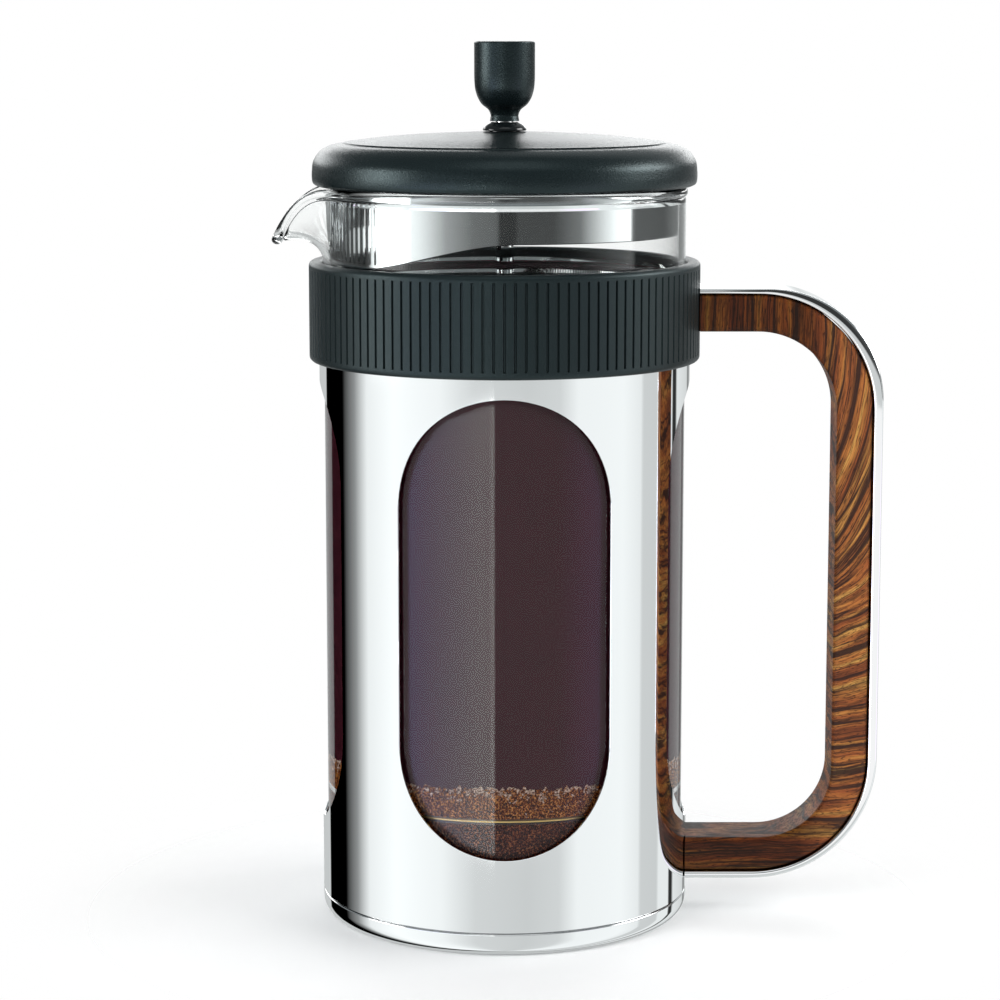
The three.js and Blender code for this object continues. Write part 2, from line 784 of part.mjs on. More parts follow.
const polishedSteel = finish(0xdfe3e4, 0.06, 1);
const brushedSteel = finish(0xb4babb, 0.32, 1);
const springSteel = finish(0xc4c7c8, 0.22, 1);
const blackPlastic = finish(0x23282a, 0.55, 0);
const glossPlastic = finish(0x16191a, 0.25, 0);
const silicone = finish(0x2d3032, 0.8, 0);
const clearGlass = finish(0xf2f7f7, 0.03, 0, { transparent: true, opacity: 0.3 });
const rosewood = finish(0x6e3d1f, 0.4, 0);
const brass = finish(0xb9944a, 0.35, 1);

// ---- the assembly -----------------------------------------------------------------------------
const press = new THREE.Group();

function addPiece(name, geometry, material) {
  const mesh = new THREE.Mesh(geometry, material);
  mesh.name = name;
  geometry.computeVertexNormals();
  press.add(mesh);
}

addPiece("base_pan", basePan(), polishedSteel);
addPiece("base_pad", basePad(), silicone);
addPiece("sleeve", sleeve(), polishedSteel);
addPiece("collar", collar(), blackPlastic);
addPiece("upper_bracket", bracket(upperBracketShape(), upperTongueMid), brushedSteel);
addPiece("lower_bracket", bracket(lowerBracketShape(), lowerTongueMid), brushedSteel);
addPiece("handle_grip", handleGrip(), rosewood);
addPiece("handle_strap", handleStrap(), polishedSteel);
addPiece("upper_screw", screw(gripInnerTop + seatGap, gripTop - screwDepth), brushedSteel);
const lowerHead = strapBottom - seatGap - screwHeadHeight;
addPiece("lower_screw", screw(lowerHead, gripInnerBottom - screwDepth), brushedSteel);

addPiece("glass_beaker", glassBeaker(), clearGlass);

addPiece("rod_guide", rodGuide(), glossPlastic);
addPiece("guide_washer", guideWasher(), brushedSteel);
const guideNut = hexNut(guideNutRadius, stemHole, guideNutBottom, guideNutTop);
addPiece("guide_nut", guideNut, brushedSteel);

addPiece("lid_shell", lidShell(), blackPlastic);
addPiece("lid_liner", lidLiner(), brushedSteel);

addPiece("knob", knob(), blackPlastic);
addPiece("knob_insert", knobInsert(), brass);
addPiece("plunger_rod", plungerRod(), polishedSteel);
addPiece("rod_collar", rodCollar(), brushedSteel);
addPiece("spiral_plate", spiralPlate(), brushedSteel);
addPiece("rim_spring", rimSpring(), springSteel);
addPiece("mesh_filter", meshFilter(), brushedSteel);
addPiece("cross_plate", crossPlate(), brushedSteel);
const plateNut = hexNut(plateNutRadius, rodHole, plateNutTop - plateNutHeight, plateNutTop);
addPiece("plate_nut", plateNut, brushedSteel);

export default press;
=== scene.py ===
import math
import bpy
import bmesh
import numpy as np
from mathutils import Matrix, Vector


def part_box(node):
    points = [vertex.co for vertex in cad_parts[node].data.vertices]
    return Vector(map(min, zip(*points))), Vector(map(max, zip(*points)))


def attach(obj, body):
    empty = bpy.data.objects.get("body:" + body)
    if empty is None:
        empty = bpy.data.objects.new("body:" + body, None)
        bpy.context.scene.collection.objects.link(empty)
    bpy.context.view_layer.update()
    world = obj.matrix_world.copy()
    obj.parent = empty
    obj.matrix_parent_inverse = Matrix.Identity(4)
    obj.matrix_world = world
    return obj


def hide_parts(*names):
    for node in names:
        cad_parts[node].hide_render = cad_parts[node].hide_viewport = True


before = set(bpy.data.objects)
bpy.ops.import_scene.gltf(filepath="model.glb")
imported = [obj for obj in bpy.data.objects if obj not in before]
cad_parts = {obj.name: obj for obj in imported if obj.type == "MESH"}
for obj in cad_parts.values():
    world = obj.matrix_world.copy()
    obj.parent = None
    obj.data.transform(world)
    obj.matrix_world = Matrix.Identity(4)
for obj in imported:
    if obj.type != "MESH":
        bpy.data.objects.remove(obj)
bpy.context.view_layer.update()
mm = 0.001


def span(node):
    # a node's lowest and highest corners, in mm
    low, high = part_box(node)
    return [v / mm for v in low], [v / mm for v in high]


sleeveLow, sleeveHigh = span("sleeve")
collarLow, collarHigh = span("collar")
glassLow, glassHigh = span("glass_beaker")
lidLow, lidHigh = span("lid_shell")
linerLow, linerHigh = span("lid_liner")
gripLow, gripHigh = span("handle_grip")
strapLow, strapHigh = span("handle_strap")
meshLow, meshHigh = span("mesh_filter")
frameRadius = sleeveHigh[0]
rimRadius = glassHigh[0]
gap = 0.3  # what touching pieces keep between them
sleeveSheet = 0.7
rodHole = 2.8  # bore of everything that the rod passes through
guideStem = 4.3
stemHole = guideStem + gap


def makePiece(name, vertices, faces):
    mesh = bpy.data.meshes.new(name)
    mesh.from_pydata([tuple(float(c) * mm for c in v) for v in vertices], [], faces)
    piece = bpy.data.objects.new(name, mesh)
    bpy.context.scene.collection.objects.link(piece)
    return piece


def cleanUp(piece, closeBy=0.002):
    shape = bmesh.new()
    shape.from_mesh(piece.data)
    bmesh.ops.remove_doubles(shape, verts=shape.verts, dist=closeBy * mm)
    bmesh.ops.recalc_face_normals(shape, faces=shape.faces)
    shape.to_mesh(piece.data)
    shape.free()
    return piece


def bakeModifiers(piece):
    # the evaluated result becomes the piece's own plain mesh
    bpy.context.view_layer.update()
    graph = bpy.context.evaluated_depsgraph_get()
    baked = bpy.data.meshes.new_from_object(piece.evaluated_get(graph), depsgraph=graph)
    baked.name = piece.name
    old = piece.data
    piece.modifiers.clear()
    piece.data = baked
    bpy.data.meshes.remove(old)
    return piece


def smoothOff(piece, sharpAngle=40):
    # smooth shading that keeps flat faces flat
    piece.data.shade_smooth()
    piece.data.set_sharp_from_angle(angle=math.radians(sharpAngle))
    weights = piece.modifiers.new("weights", "WEIGHTED_NORMAL")
    weights.keep_sharp = True
    weights.weight = 90
    return bakeModifiers(piece)


def filleted(corners, steps=6):
    # corners are (r, z, fillet radius); the outline comes back with each corner rounded
    points = []
    count = len(corners)
    for i, (r, z, radius) in enumerate(corners):
        here = Vector((r, z))
        before = Vector(corners[i - 1][:2]) - here
        after = Vector(corners[(i + 1) % count][:2]) - here
        if radius <= 0 or before.length < 1e-6 or after.length < 1e-6:
            points.append((r, z))
            continue
        before.normalize()
        after.normalize()
        half = math.acos(max(-1, min(1, before.dot(after)))) / 2
        reach = radius / math.tan(half)
        centre = here + (before + after).normalized() * (radius / math.sin(half))
        start = here + before * reach - centre
        end = here + after * reach - centre
        turn = math.atan2(start.x * end.y - start.y * end.x, start.dot(end))
        for k in range(steps + 1):
            a = turn * k / steps
            points.append((
                centre.x + start.x * math.cos(a) - start.y * math.sin(a),
                centre.y + start.x * math.sin(a) + start.y * math.cos(a),
            ))
    return points


def curveThrough(points, steps=6):
    # a smooth line through all the points
    padded = [points[0], *points, points[-1]]
    line = []
    for i in range(len(points) - 1):
        p0, p1, p2, p3 = (np.array(p, float) for p in padded[i:i + 4])
        for k in range(steps):
            t = k / steps
            line.append(tuple(0.5 * (
                2 * p1 + (p2 - p0) * t
                + (2 * p0 - 5 * p1 + 4 * p2 - p3) * t ** 2
                + (3 * p1 - p0 - 3 * p2 + p3) * t ** 3
            )))
    line.append(tuple(points[-1]))
    return line


def turned(name, profile, steps=192, reshape=None):
    # a profile of (r, z) turned about the axis; it closes on itself or on the axis
    profile = [p for i, p in enumerate(profile) if math.dist(p, profile[i - 1]) > 1e-4]
    count = len(profile)
    vertices = []
    for i in range(steps):
        a = 2 * math.pi * i / steps
        for r, z in profile:
            point = (r * math.cos(a), r * math.sin(a), z)
            vertices.append(reshape(point) if reshape else point)
    faces = []
    for i in range(steps):
        j = (i + 1) % steps
        for k in range(count):
            n = (k + 1) % count
            if profile[k][0] < 1e-6 and profile[n][0] < 1e-6:
                continue
            faces.append((i * count + k, j * count + k, j * count + n, i * count + n))
    return cleanUp(makePiece(name, vertices, faces))


def cutWith(piece, cutter):
    tool = piece.modifiers.new("cut", "BOOLEAN")
    tool.operation = "DIFFERENCE"
    tool.solver = "EXACT"
    tool.object = cutter
    bakeModifiers(piece)
    bpy.data.objects.remove(cutter)
    return piece


def block(name, low, high):
    vertices = [(x, y, z) for x in (low[0], high[0]) for y in (low[1], high[1]) for z in (low[2], high[2])]
    faces = [(0, 1, 3, 2), (4, 6, 7, 5), (0, 4, 5, 1), (2, 3, 7, 6), (0, 2, 6, 4), (1, 5, 7, 3)]
    return cleanUp(makePiece(name, vertices, faces))


def put(tree, kind, values=None, **settings):
    node = tree.nodes.new(kind)
    for key, value in settings.items():
        setattr(node, key, value)
    for key, value in (values or {}).items():
        if isinstance(value, bpy.types.NodeSocket):
            tree.links.new(value, node.inputs[key])
        else:
            node.inputs[key].default_value = value
    return node


def calc(tree, operation, *values):
    return put(tree, "ShaderNodeMath", dict(enumerate(values)), operation=operation).outputs[0]


def fresh(name):
    material = bpy.data.materials.new(name)
    material.use_nodes = True
    tree = material.node_tree
    tree.nodes.clear()
    surface = put(tree, "ShaderNodeBsdfPrincipled")
    put(tree, "ShaderNodeOutputMaterial", {"Surface": surface.outputs[0]})
    return material, tree, surface


def tune(surface, tree, **values):
    # sockets by name with the spaces left out
    names = {s.name.replace(" ", "").lower(): s for s in surface.inputs}
    for key, value in values.items():
        socket = names[key.lower()]
        if isinstance(value, bpy.types.NodeSocket):
            tree.links.new(value, socket)
        else:
            socket.default_value = value


def place(tree, scale=(1, 1, 1)):
    where = put(tree, "ShaderNodeTexCoord").outputs["Object"]
    return put(tree, "ShaderNodeMapping", {"Vector": where, "Scale": scale}).outputs[0]


def cloud(tree, vector, scale, detail=3.0, roughness=0.5):
    values = {"Vector": vector, "Scale": scale, "Detail": detail, "Roughness": roughness}
    return put(tree, "ShaderNodeTexNoise", values).outputs[0]


def spread(tree, value, low, high, toLow, toHigh):
    values = {0: value, 1: low, 2: high, 3: toLow, 4: toHigh}
    return put(tree, "ShaderNodeMapRange", values).outputs[0]


def eased(tree, value, low, high, toLow=0.0, toHigh=1.0):
    values = {0: value, 1: low, 2: high, 3: toLow, 4: toHigh}
    return put(tree, "ShaderNodeMapRange", values, interpolation_type="SMOOTHSTEP").outputs[0]


def bump(tree, height, strength, distance=0.0001):
    values = {"Strength": strength, "Distance": distance, "Height": height}
    return put(tree, "ShaderNodeBump", values).outputs[0]


def ramp(tree, value, stops):
    node = put(tree, "ShaderNodeValToRGB", {0: value})
    elements = node.color_ramp.elements
    while len(elements) < len(stops):
        elements.new(0.5)
    for element, (position, colour) in zip(elements, stops):
        element.position = position
        element.color = (*colour, 1)
    return node.outputs[0]


def blended(tree, share, first, second, how="MIX"):
    node = put(tree, "ShaderNodeMix", data_type="RGBA", blend_type=how)
    for index, value in ((0, share), (6, first), (7, second)):
        if isinstance(value, bpy.types.NodeSocket):
            tree.links.new(value, node.inputs[index])
        else:
            node.inputs[index].default_value = value if index == 0 else (*value, 1)
    return node.outputs[2]


def polishedSteel():
    material, tree, surface = fresh("polishedSteel")
    wipe = cloud(tree, place(tree, (40, 40, 8)), 1.0, 4)
    haze = cloud(tree, place(tree, (900, 900, 60)), 1.0, 2)
    tune(surface, tree, basecolor=(0.90, 0.91, 0.915, 1), metallic=1.0,
         roughness=spread(tree, wipe, 0.3, 0.7, 0.012, 0.03), normal=bump(tree, haze, 0.012))
    return material


def brushedSteel(name="brushedSteel", colour=(0.62, 0.63, 0.64), roughness=0.27):
    material, tree, surface = fresh(name)
    lines = cloud(tree, place(tree, (60, 60, 4200)), 1.0, 2)
    tune(surface, tree, basecolor=(*colour, 1), metallic=1.0,
         roughness=spread(tree, lines, 0.25, 0.75, roughness - 0.06, roughness + 0.08),
         normal=bump(tree, lines, 0.05))
    return material


def satinSteel():
    # bright steel with faint lines round it
    material, tree, surface = fresh("satinSteel")
    lines = cloud(tree, place(tree, (20, 20, 5200)), 1.0, 2)
    tune(surface, tree, basecolor=(0.86, 0.875, 0.88, 1), metallic=1.0,
         roughness=spread(tree, lines, 0.25, 0.75, 0.035, 0.075), normal=bump(tree, lines, 0.008))
    return material


def springSteel():
    material, tree, surface = fresh("springSteel")
    spots = cloud(tree, place(tree), 900.0, 3)
    tune(surface, tree, basecolor=(0.70, 0.70, 0.69, 1), metallic=1.0,
         roughness=spread(tree, spots, 0.3, 0.7, 0.14, 0.26))
    return material


def blackPlastic(name, roughness, grain):
    # moulded with a fine spark grain
    material, tree, surface = fresh(name)
    spark = cloud(tree, place(tree), 2600.0, 2)
    patches = cloud(tree, place(tree), 60.0, 3)
    tune(surface, tree,
         basecolor=blended(tree, patches, (0.0040, 0.0070, 0.0078), (0.0058, 0.0096, 0.0105)),
         roughness=spread(tree, spark, 0.3, 0.7, roughness - 0.05, roughness + 0.06),
         ior=1.46, speculartint=(0.74, 0.97, 1.0, 1),
         normal=bump(tree, spark, grain, 0.0002))
    return material


def glossPlastic():
    material, tree, surface = fresh("glossPlastic")
    soft = cloud(tree, place(tree), 220.0, 2)
    tune(surface, tree, basecolor=(0.005, 0.007, 0.0078, 1),
         roughness=spread(tree, soft, 0.3, 0.7, 0.14, 0.2), ior=1.5)
    return material


def siliconeRubber():
    material, tree, surface = fresh("siliconeRubber")
    dust = cloud(tree, place(tree), 700.0, 3)
    tune(surface, tree,
         basecolor=blended(tree, dust, (0.018, 0.019, 0.02), (0.03, 0.031, 0.032)),
         roughness=0.75, normal=bump(tree, dust, 0.15))
    return material


def clearGlass():
    material, tree, surface = fresh("clearGlass")
    drawn = cloud(tree, place(tree, (30, 30, 90)), 1.0, 1)
    tune(surface, tree, basecolor=(0.985, 0.995, 0.992, 1), roughness=0.0, ior=1.47,
         transmissionweight=1.0, speculartint=(0.6, 0.6, 0.6, 1), normal=bump(tree, drawn, 0.02, 0.0003))
    return material


def blackCoffee(name, ior, glossCoat):
    # the coat is for the open surface; against the glass there is none
    material, tree, surface = fresh(name)
    swirl = cloud(tree, place(tree, (14, 14, 9)), 1.0, 3)
    tune(surface, tree,
         basecolor=blended(tree, swirl, (0.0620, 0.0110, 0.0200), (0.0840, 0.0210, 0.0300)),
         roughness=0.035, ior=ior, coatweight=glossCoat, coatior=2.0, coatroughness=0.03)
    return material


def wetGrounds(name, deep, paleShare):
    # speckled brown, with pale blotches gathered at the top
    material, tree, surface = fresh(name)
    where = place(tree)
    grit = cloud(tree, where, 2100.0, 4, 0.75)
    clumps = cloud(tree, where, 620.0, 3, 0.65)
    brown = ramp(tree, grit, deep)
    pale = ramp(tree, cloud(tree, where, 1900.0, 3, 0.75), [
        (0.42, (0.12, 0.030, 0.012)), (0.50, (0.62, 0.38, 0.27)), (0.58, (0.92, 0.74, 0.62))])
    height = put(tree, "ShaderNodeSeparateXYZ", {0: where}).outputs[2]
    top = spread(tree, height, groundsSizes["paleFrom"] * mm, groundsSizes["top"] * mm, 0.0, 1.0)
    gathered = calc(tree, "ADD", clumps, calc(tree, "MULTIPLY", top, 0.20))
    share = spread(tree, gathered, 0.64, 0.68, 0.0, paleShare)
    tune(surface, tree, basecolor=blended(tree, share, brown, pale), roughness=0.5, ior=1.15,
         normal=bump(tree, grit, 0.4, 0.0003))
    return material


woodSizes = {"darkTo": 83.0, "lightFrom": 94.0}  # painted shade on the wood's level arms: full out to the first, gone from the second, from the axis outwards


def stripedWood():
    # reddish brown with near-black streaks; "grain" holds where a point lies across and along the rings
    material, tree, surface = fresh("stripedWood")
    grain = put(tree, "ShaderNodeAttribute", attribute_name="grain").outputs["Vector"]

    def scaled(vector, scale, roll=0.0):
        values = {"Vector": vector, "Scale": scale, "Location": (roll, 0, 0)}
        return put(tree, "ShaderNodeMapping", values).outputs[0]

    sway = calc(tree, "SUBTRACT", cloud(tree, scaled(grain, (60, 35, 60)), 1.0, 3), 0.5)
    parts = put(tree, "ShaderNodeSeparateXYZ", {0: grain})
    across = calc(tree, "ADD", parts.outputs[0], calc(tree, "MULTIPLY", sway, 0.0045))
    warped = put(tree, "ShaderNodeCombineXYZ", {
        0: across, 1: parts.outputs[1], 2: parts.outputs[2]}).outputs[0]
    bands = cloud(tree, scaled(warped, (330, 14, 30)), 1.0, 3, 0.55)
    streaks = cloud(tree, scaled(warped, (620, 22, 60), 3.7), 1.0, 4, 0.62)
    fibres = cloud(tree, scaled(warped, (2600, 170, 700), 9.1), 1.0, 3, 0.6)
    pores = cloud(tree, scaled(warped, (4200, 600, 2500), 5.3), 1.0, 2, 0.5)
    body = ramp(tree, bands, [
        (0.30, (0.160, 0.042, 0.017)), (0.43, (0.360, 0.098, 0.028)),
        (0.55, (0.530, 0.190, 0.045)), (0.68, (0.720, 0.400, 0.100))])
    dark = spread(tree, streaks, 0.48, 0.60, 0.0, 0.95)
    veins = cloud(tree, scaled(warped, (230, 9, 20), 1.9), 1.0, 2, 0.4)
    apart = calc(tree, "ABSOLUTE", calc(tree, "SUBTRACT", veins, 0.5))
    dark = calc(tree, "MAXIMUM", dark, spread(tree, apart, 0.004, 0.022, 0.95, 0.0))
    mixed = blended(tree, dark, body, (0.022, 0.012, 0.011))
    threads = blended(tree, spread(tree, fibres, 0.40, 0.66, 0.0, 0.75), mixed, (0.060, 0.022, 0.012))
    speck = blended(tree, spread(tree, pores, 0.57, 0.66, 0.0, 0.85), threads, (0.030, 0.014, 0.010))
    outward = put(tree, "ShaderNodeSeparateXYZ", {0: place(tree)}).outputs[0]
    # painted shade: the wood's colour is multiplied darker where the arms run level
    level = spread(tree, outward, woodSizes["darkTo"] * mm, woodSizes["lightFrom"] * mm, 1.0, 0.0)
    deep = blended(tree, level, speck, (0.34, 0.26, 0.16), "MULTIPLY")
    tune(surface, tree, basecolor=deep, roughness=spread(tree, fibres, 0.3, 0.7, 0.46, 0.62),
         ior=1.3, normal=bump(tree, fibres, 0.10, 0.00008))
    return material


def machinedBrass():
    material, tree, surface = fresh("machinedBrass")
    turnedLines = cloud(tree, place(tree, (30, 30, 5000)), 1.0, 1)
    tune(surface, tree, basecolor=(0.68, 0.48, 0.2, 1), metallic=1.0,
         roughness=spread(tree, turnedLines, 0.3, 0.7, 0.2, 0.35))
    return material


groundsSizes = {
    "belowMesh": 0.35, "aboveMesh": 0.4,  # what the filter keeps free
    "top": 46.2,
    "paleFrom": 42.0,
    "wall": 0.12,  # how far contents reach into the glass, so that no film of air shows
    "ripple": 1.0,
}
glassWall = 1.8
finishes = {
    "steel": polishedSteel(),
    "brushed": brushedSteel(),
    "satin": satinSteel(),
    "stained": brushedSteel("stainedSteel", (0.98, 0.66, 0.20), 0.38),
    "spring": springSteel(),
    "black": blackPlastic("blackPlastic", 0.29, 0.30),
    "collarBlack": blackPlastic("collarPlastic", 0.40, 0.25),
    "gloss": glossPlastic(),
    "rubber": siliconeRubber(),
    "glass": clearGlass(),
    "coffee": blackCoffee("coffeeAgainstGlass", 1.1, 0.0),
    "coffeeTop": blackCoffee("coffeeSurface", 1.33, 1.0),
    "grounds": wetGrounds("looseGrounds", [
        (0.43, (0.030, 0.007, 0.005)), (0.50, (0.150, 0.030, 0.010)), (0.56, (0.55, 0.150, 0.030)),
        (0.62, (1.0, 0.48, 0.13))], 1.0),
    "bed": wetGrounds("packedGrounds", [
        (0.43, (0.022, 0.004, 0.005)), (0.51, (0.070, 0.012, 0.010)), (0.57, (0.240, 0.050, 0.024)),
        (0.64, (0.70, 0.24, 0.09))], 0.0),
    "wood": stripedWood(),
    "brass": machinedBrass(),
}
print("finishes made:", len(finishes))


def settle(piece, body, finish, slot=None, *nodes):
    # gives the piece its finish and body, and hides the CAD nodes that it stands for
    piece.data.materials.clear()
    piece.data.materials.append(finishes[finish])
    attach(piece, body)
    if nodes:
        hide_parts(*nodes)
    return piece


def nodeTree(name, inputs):
    tree = bpy.data.node_groups.new(name, "GeometryNodeTree")
    tree.interface.new_socket("Geometry", in_out="INPUT", socket_type="NodeSocketGeometry")
    tree.interface.new_socket("Geometry", in_out="OUTPUT", socket_type="NodeSocketGeometry")
    for label, kind in inputs.items():
        tree.interface.new_socket(label, in_out="INPUT", socket_type="NodeSocket" + kind)
    return tree, tree.nodes.new("NodeGroupInput"), tree.nodes.new("NodeGroupOutput")


def runTree(piece, tree, **values):
    modifier = piece.modifiers.new(tree.name, "NODES")
    modifier.node_group = tree
    sockets = {s.name: s.identifier for s in tree.interface.items_tree if s.in_out == "INPUT"}
    for label, value in values.items():
        modifier[sockets[label]] = value
    return bakeModifiers(piece)


def copiesTree(cuts):
    # copies of a shape at an even pitch round the axis, joined to a ring or cut out of the piece
    name = "cutRoundAxis" if cuts else "copiesRoundAxis"
    tree, given, result = nodeTree(name, {
        "Copies": "Int", "Pitch": "Float", "First": "Float", "Tool": "Object", "Finish": "Material"})
    points = put(tree, "GeometryNodePoints", {"Count": given.outputs["Copies"]})
    index = put(tree, "GeometryNodeInputIndex").outputs[0]
    turn = calc(tree, "MULTIPLY_ADD", index, given.outputs["Pitch"], given.outputs["First"])
    angles = put(tree, "ShaderNodeCombineXYZ", {2: turn}).outputs[0]
    if cuts:
        tool = put(tree, "GeometryNodeObjectInfo", {"Object": given.outputs["Tool"]}).outputs["Geometry"]
    else:
        tool = given.outputs["Geometry"]
    placed = put(tree, "GeometryNodeInstanceOnPoints", {
        "Points": points.outputs[0], "Instance": tool, "Rotation": angles})
    real = put(tree, "GeometryNodeRealizeInstances", {0: placed.outputs[0]}).outputs[0]
    if cuts:
        shape = put(tree, "GeometryNodeMeshBoolean", operation="DIFFERENCE")
        shape.solver = "EXACT"
        tree.links.new(given.outputs["Geometry"], shape.inputs["Mesh 1"])
        tree.links.new(real, shape.inputs["Mesh 2"])
        real = put(tree, "GeometryNodeRealizeInstances", {0: shape.outputs[0]}).outputs[0]
    else:
        real = put(tree, "GeometryNodeMergeByDistance", {"Geometry": real, "Distance": 0.004 * mm}).outputs[0]
    named = put(tree, "GeometryNodeSetMaterial", {"Geometry": real, "Material": given.outputs["Finish"]})
    tree.links.new(named.outputs[0], result.inputs[0])
    return tree


copiesRoundAxis = copiesTree(False)
cutRoundAxis = copiesTree(True)


def coilTree():
    # one closed wire that winds round a ring
    tree, given, result = nodeTree("coilRoundRing", {
        "Ring Radius": "Float", "Coil Radius": "Float", "Wire Radius": "Float", "Height": "Float",
        "Turns": "Int", "Steps": "Int", "Finish": "Material"})
    take = given.outputs
    total = calc(tree, "MULTIPLY", take["Turns"], take["Steps"])
    line = put(tree, "GeometryNodeMeshLine", {"Count": total})
    index = put(tree, "GeometryNodeInputIndex").outputs[0]
    around = calc(tree, "MULTIPLY", calc(tree, "DIVIDE", index, total), 2 * math.pi)
    wound = calc(tree, "MULTIPLY", calc(tree, "DIVIDE", index, take["Steps"]), 2 * math.pi)
    reach = calc(tree, "MULTIPLY_ADD", calc(tree, "COSINE", wound), take["Coil Radius"], take["Ring Radius"])
    spot = put(tree, "ShaderNodeCombineXYZ", {
        0: calc(tree, "MULTIPLY", reach, calc(tree, "COSINE", around)),
        1: calc(tree, "MULTIPLY", reach, calc(tree, "SINE", around)),
        2: calc(tree, "MULTIPLY_ADD", calc(tree, "SINE", wound), take["Coil Radius"], take["Height"])})
    moved = put(tree, "GeometryNodeSetPosition", {"Geometry": line.outputs[0], "Position": spot.outputs[0]})
    curve = put(tree, "GeometryNodeMeshToCurve", {"Mesh": moved.outputs[0]})
    closed = put(tree, "GeometryNodeSetSplineCyclic", {"Geometry": curve.outputs[0], "Cyclic": True})
    section = put(tree, "GeometryNodeCurvePrimitiveCircle", {"Resolution": 6, "Radius": take["Wire Radius"]})
    wire = put(tree, "GeometryNodeCurveToMesh", {
        "Curve": closed.outputs[0], "Profile Curve": section.outputs[0]})
    real = put(tree, "GeometryNodeRealizeInstances", {0: wire.outputs[0]})
    named = put(tree, "GeometryNodeSetMaterial", {"Geometry": real.outputs[0], "Material": take["Finish"]})
    tree.links.new(named.outputs[0], result.inputs[0])
    return tree


baseSizes = {
    "seam": 6.5, "corner": 4.2, "lip": 0.6, "floor": 2.2,
    "padRibs": 5, "firstRib": 0.95, "ribPitch": 0.16,  # the last two are shares of the pad's radius
    "ribWidth": 3.5, "ribFoot": 3.8, "ribSpace": 5.5, "ribHeight": 0.5,
}


def buildBase():
    s = baseSizes
    low, high = span("base_pan")
    radius = high[0]
    sheet = frameRadius - sleeveSheet - gap
    profile = filleted([
        (0, 0, 0), (radius, 0, s["corner"]), (radius, s["seam"], 0.35), (sheet, s["seam"], 0.1),
        (sheet, high[2], 0.2), (sheet - s["lip"], high[2], 0.2), (sheet - s["lip"], s["floor"], 2),
        (0, s["floor"], 0)], 8)
    pan = smoothOff(turned("basePan", profile), 50)
    settle(pan, "frame", "steel", "polished_steel", "base_pan")
    low, high = span("base_pad")
    top, foot = high[2], high[2] - s["ribHeight"]
    outline = [(0, low[2], 0), (high[0], low[2], 0.5)]
    for n in range(s["padRibs"]):
        r = high[0] * (s["firstRib"] - s["ribPitch"] * n)
        outline += [(r, top, 0.3), (r - s["ribWidth"], top, 0.3)]
        outline += [(r - s["ribFoot"], foot, 0.2), (r - s["ribSpace"], foot, 0.2)]
    outline.append((0, foot, 0))
    pad = smoothOff(turned("basePad", filleted(outline, 3), 96))
    settle(pad, "frame", "rubber", "silicone", "base_pad")


sleeveSizes = {
    "windowBottom": 26.95,
    "windowTop": 151.6,
    "windows": [(-90, 33.5), (0, 30), (90, 33.5), (180, 30)],  # middle and half width, in degrees
    "edge": 0.12,
    "arcSteps": 44, "stripSteps": 30,  # across a window, and across the steel between two
    "lowRows": 8, "midRows": 10, "topRows": 6,
}


def windowColumns():
    # angle, upper end of the lower strip, lower end of the upper strip, open to the right
    s = sleeveSizes
    low, high, windows = s["windowBottom"], s["windowTop"], s["windows"]
    columns = []
    for n, (middle, half) in enumerate(windows):
        width = frameRadius * math.radians(half)
        steps = s["arcSteps"]
        for k in range(steps + 1):
            share = math.sin(math.pi * (k / steps - 0.5))
            bulge = width * math.sqrt(max(0, 1 - share * share))
            columns.append((middle + half * share, low + width - bulge, high - width + bulge, k < steps))
        nextMiddle, nextHalf = windows[(n + 1) % len(windows)]
        nextWidth = frameRadius * math.radians(nextHalf)
        start, end = middle + half, nextMiddle - nextHalf + (360 if nextMiddle < middle else 0)
        steps = s["stripSteps"]
        for k in range(1, steps):
            t = k / steps
            inset = width + (nextWidth - width) * t
            columns.append((start + (end - start) * t, low + inset, high - inset, False))
    return columns


def roundNormals(mesh):
    # the rolled faces take the true round's normals, and keep a sharp line against their bevels
    facings = [f.normal.dot(Vector((f.center.x, f.center.y, 0)).normalized()) for f in mesh.polygons]
    rolled = [abs(facing) > 0.97 for facing in facings]
    kinds = {}
    for face, isRolled in zip(mesh.polygons, rolled):
        for key in face.edge_keys:
            kinds.setdefault(key, set()).add(isRolled)
    for edge in mesh.edges:
        if len(kinds[edge.key]) > 1:
            edge.use_edge_sharp = True
    normals = [Vector(n.vector) for n in mesh.corner_normals]
    for face, facing, isRolled in zip(mesh.polygons, facings, rolled):
        if isRolled:
            for corner in face.loop_indices:
                spot = mesh.vertices[mesh.loops[corner].vertex_index].co
                normals[corner] = Vector((spot.x, spot.y, 0)).normalized() * (1 if facing > 0 else -1)
    mesh.normals_split_custom_set(normals)


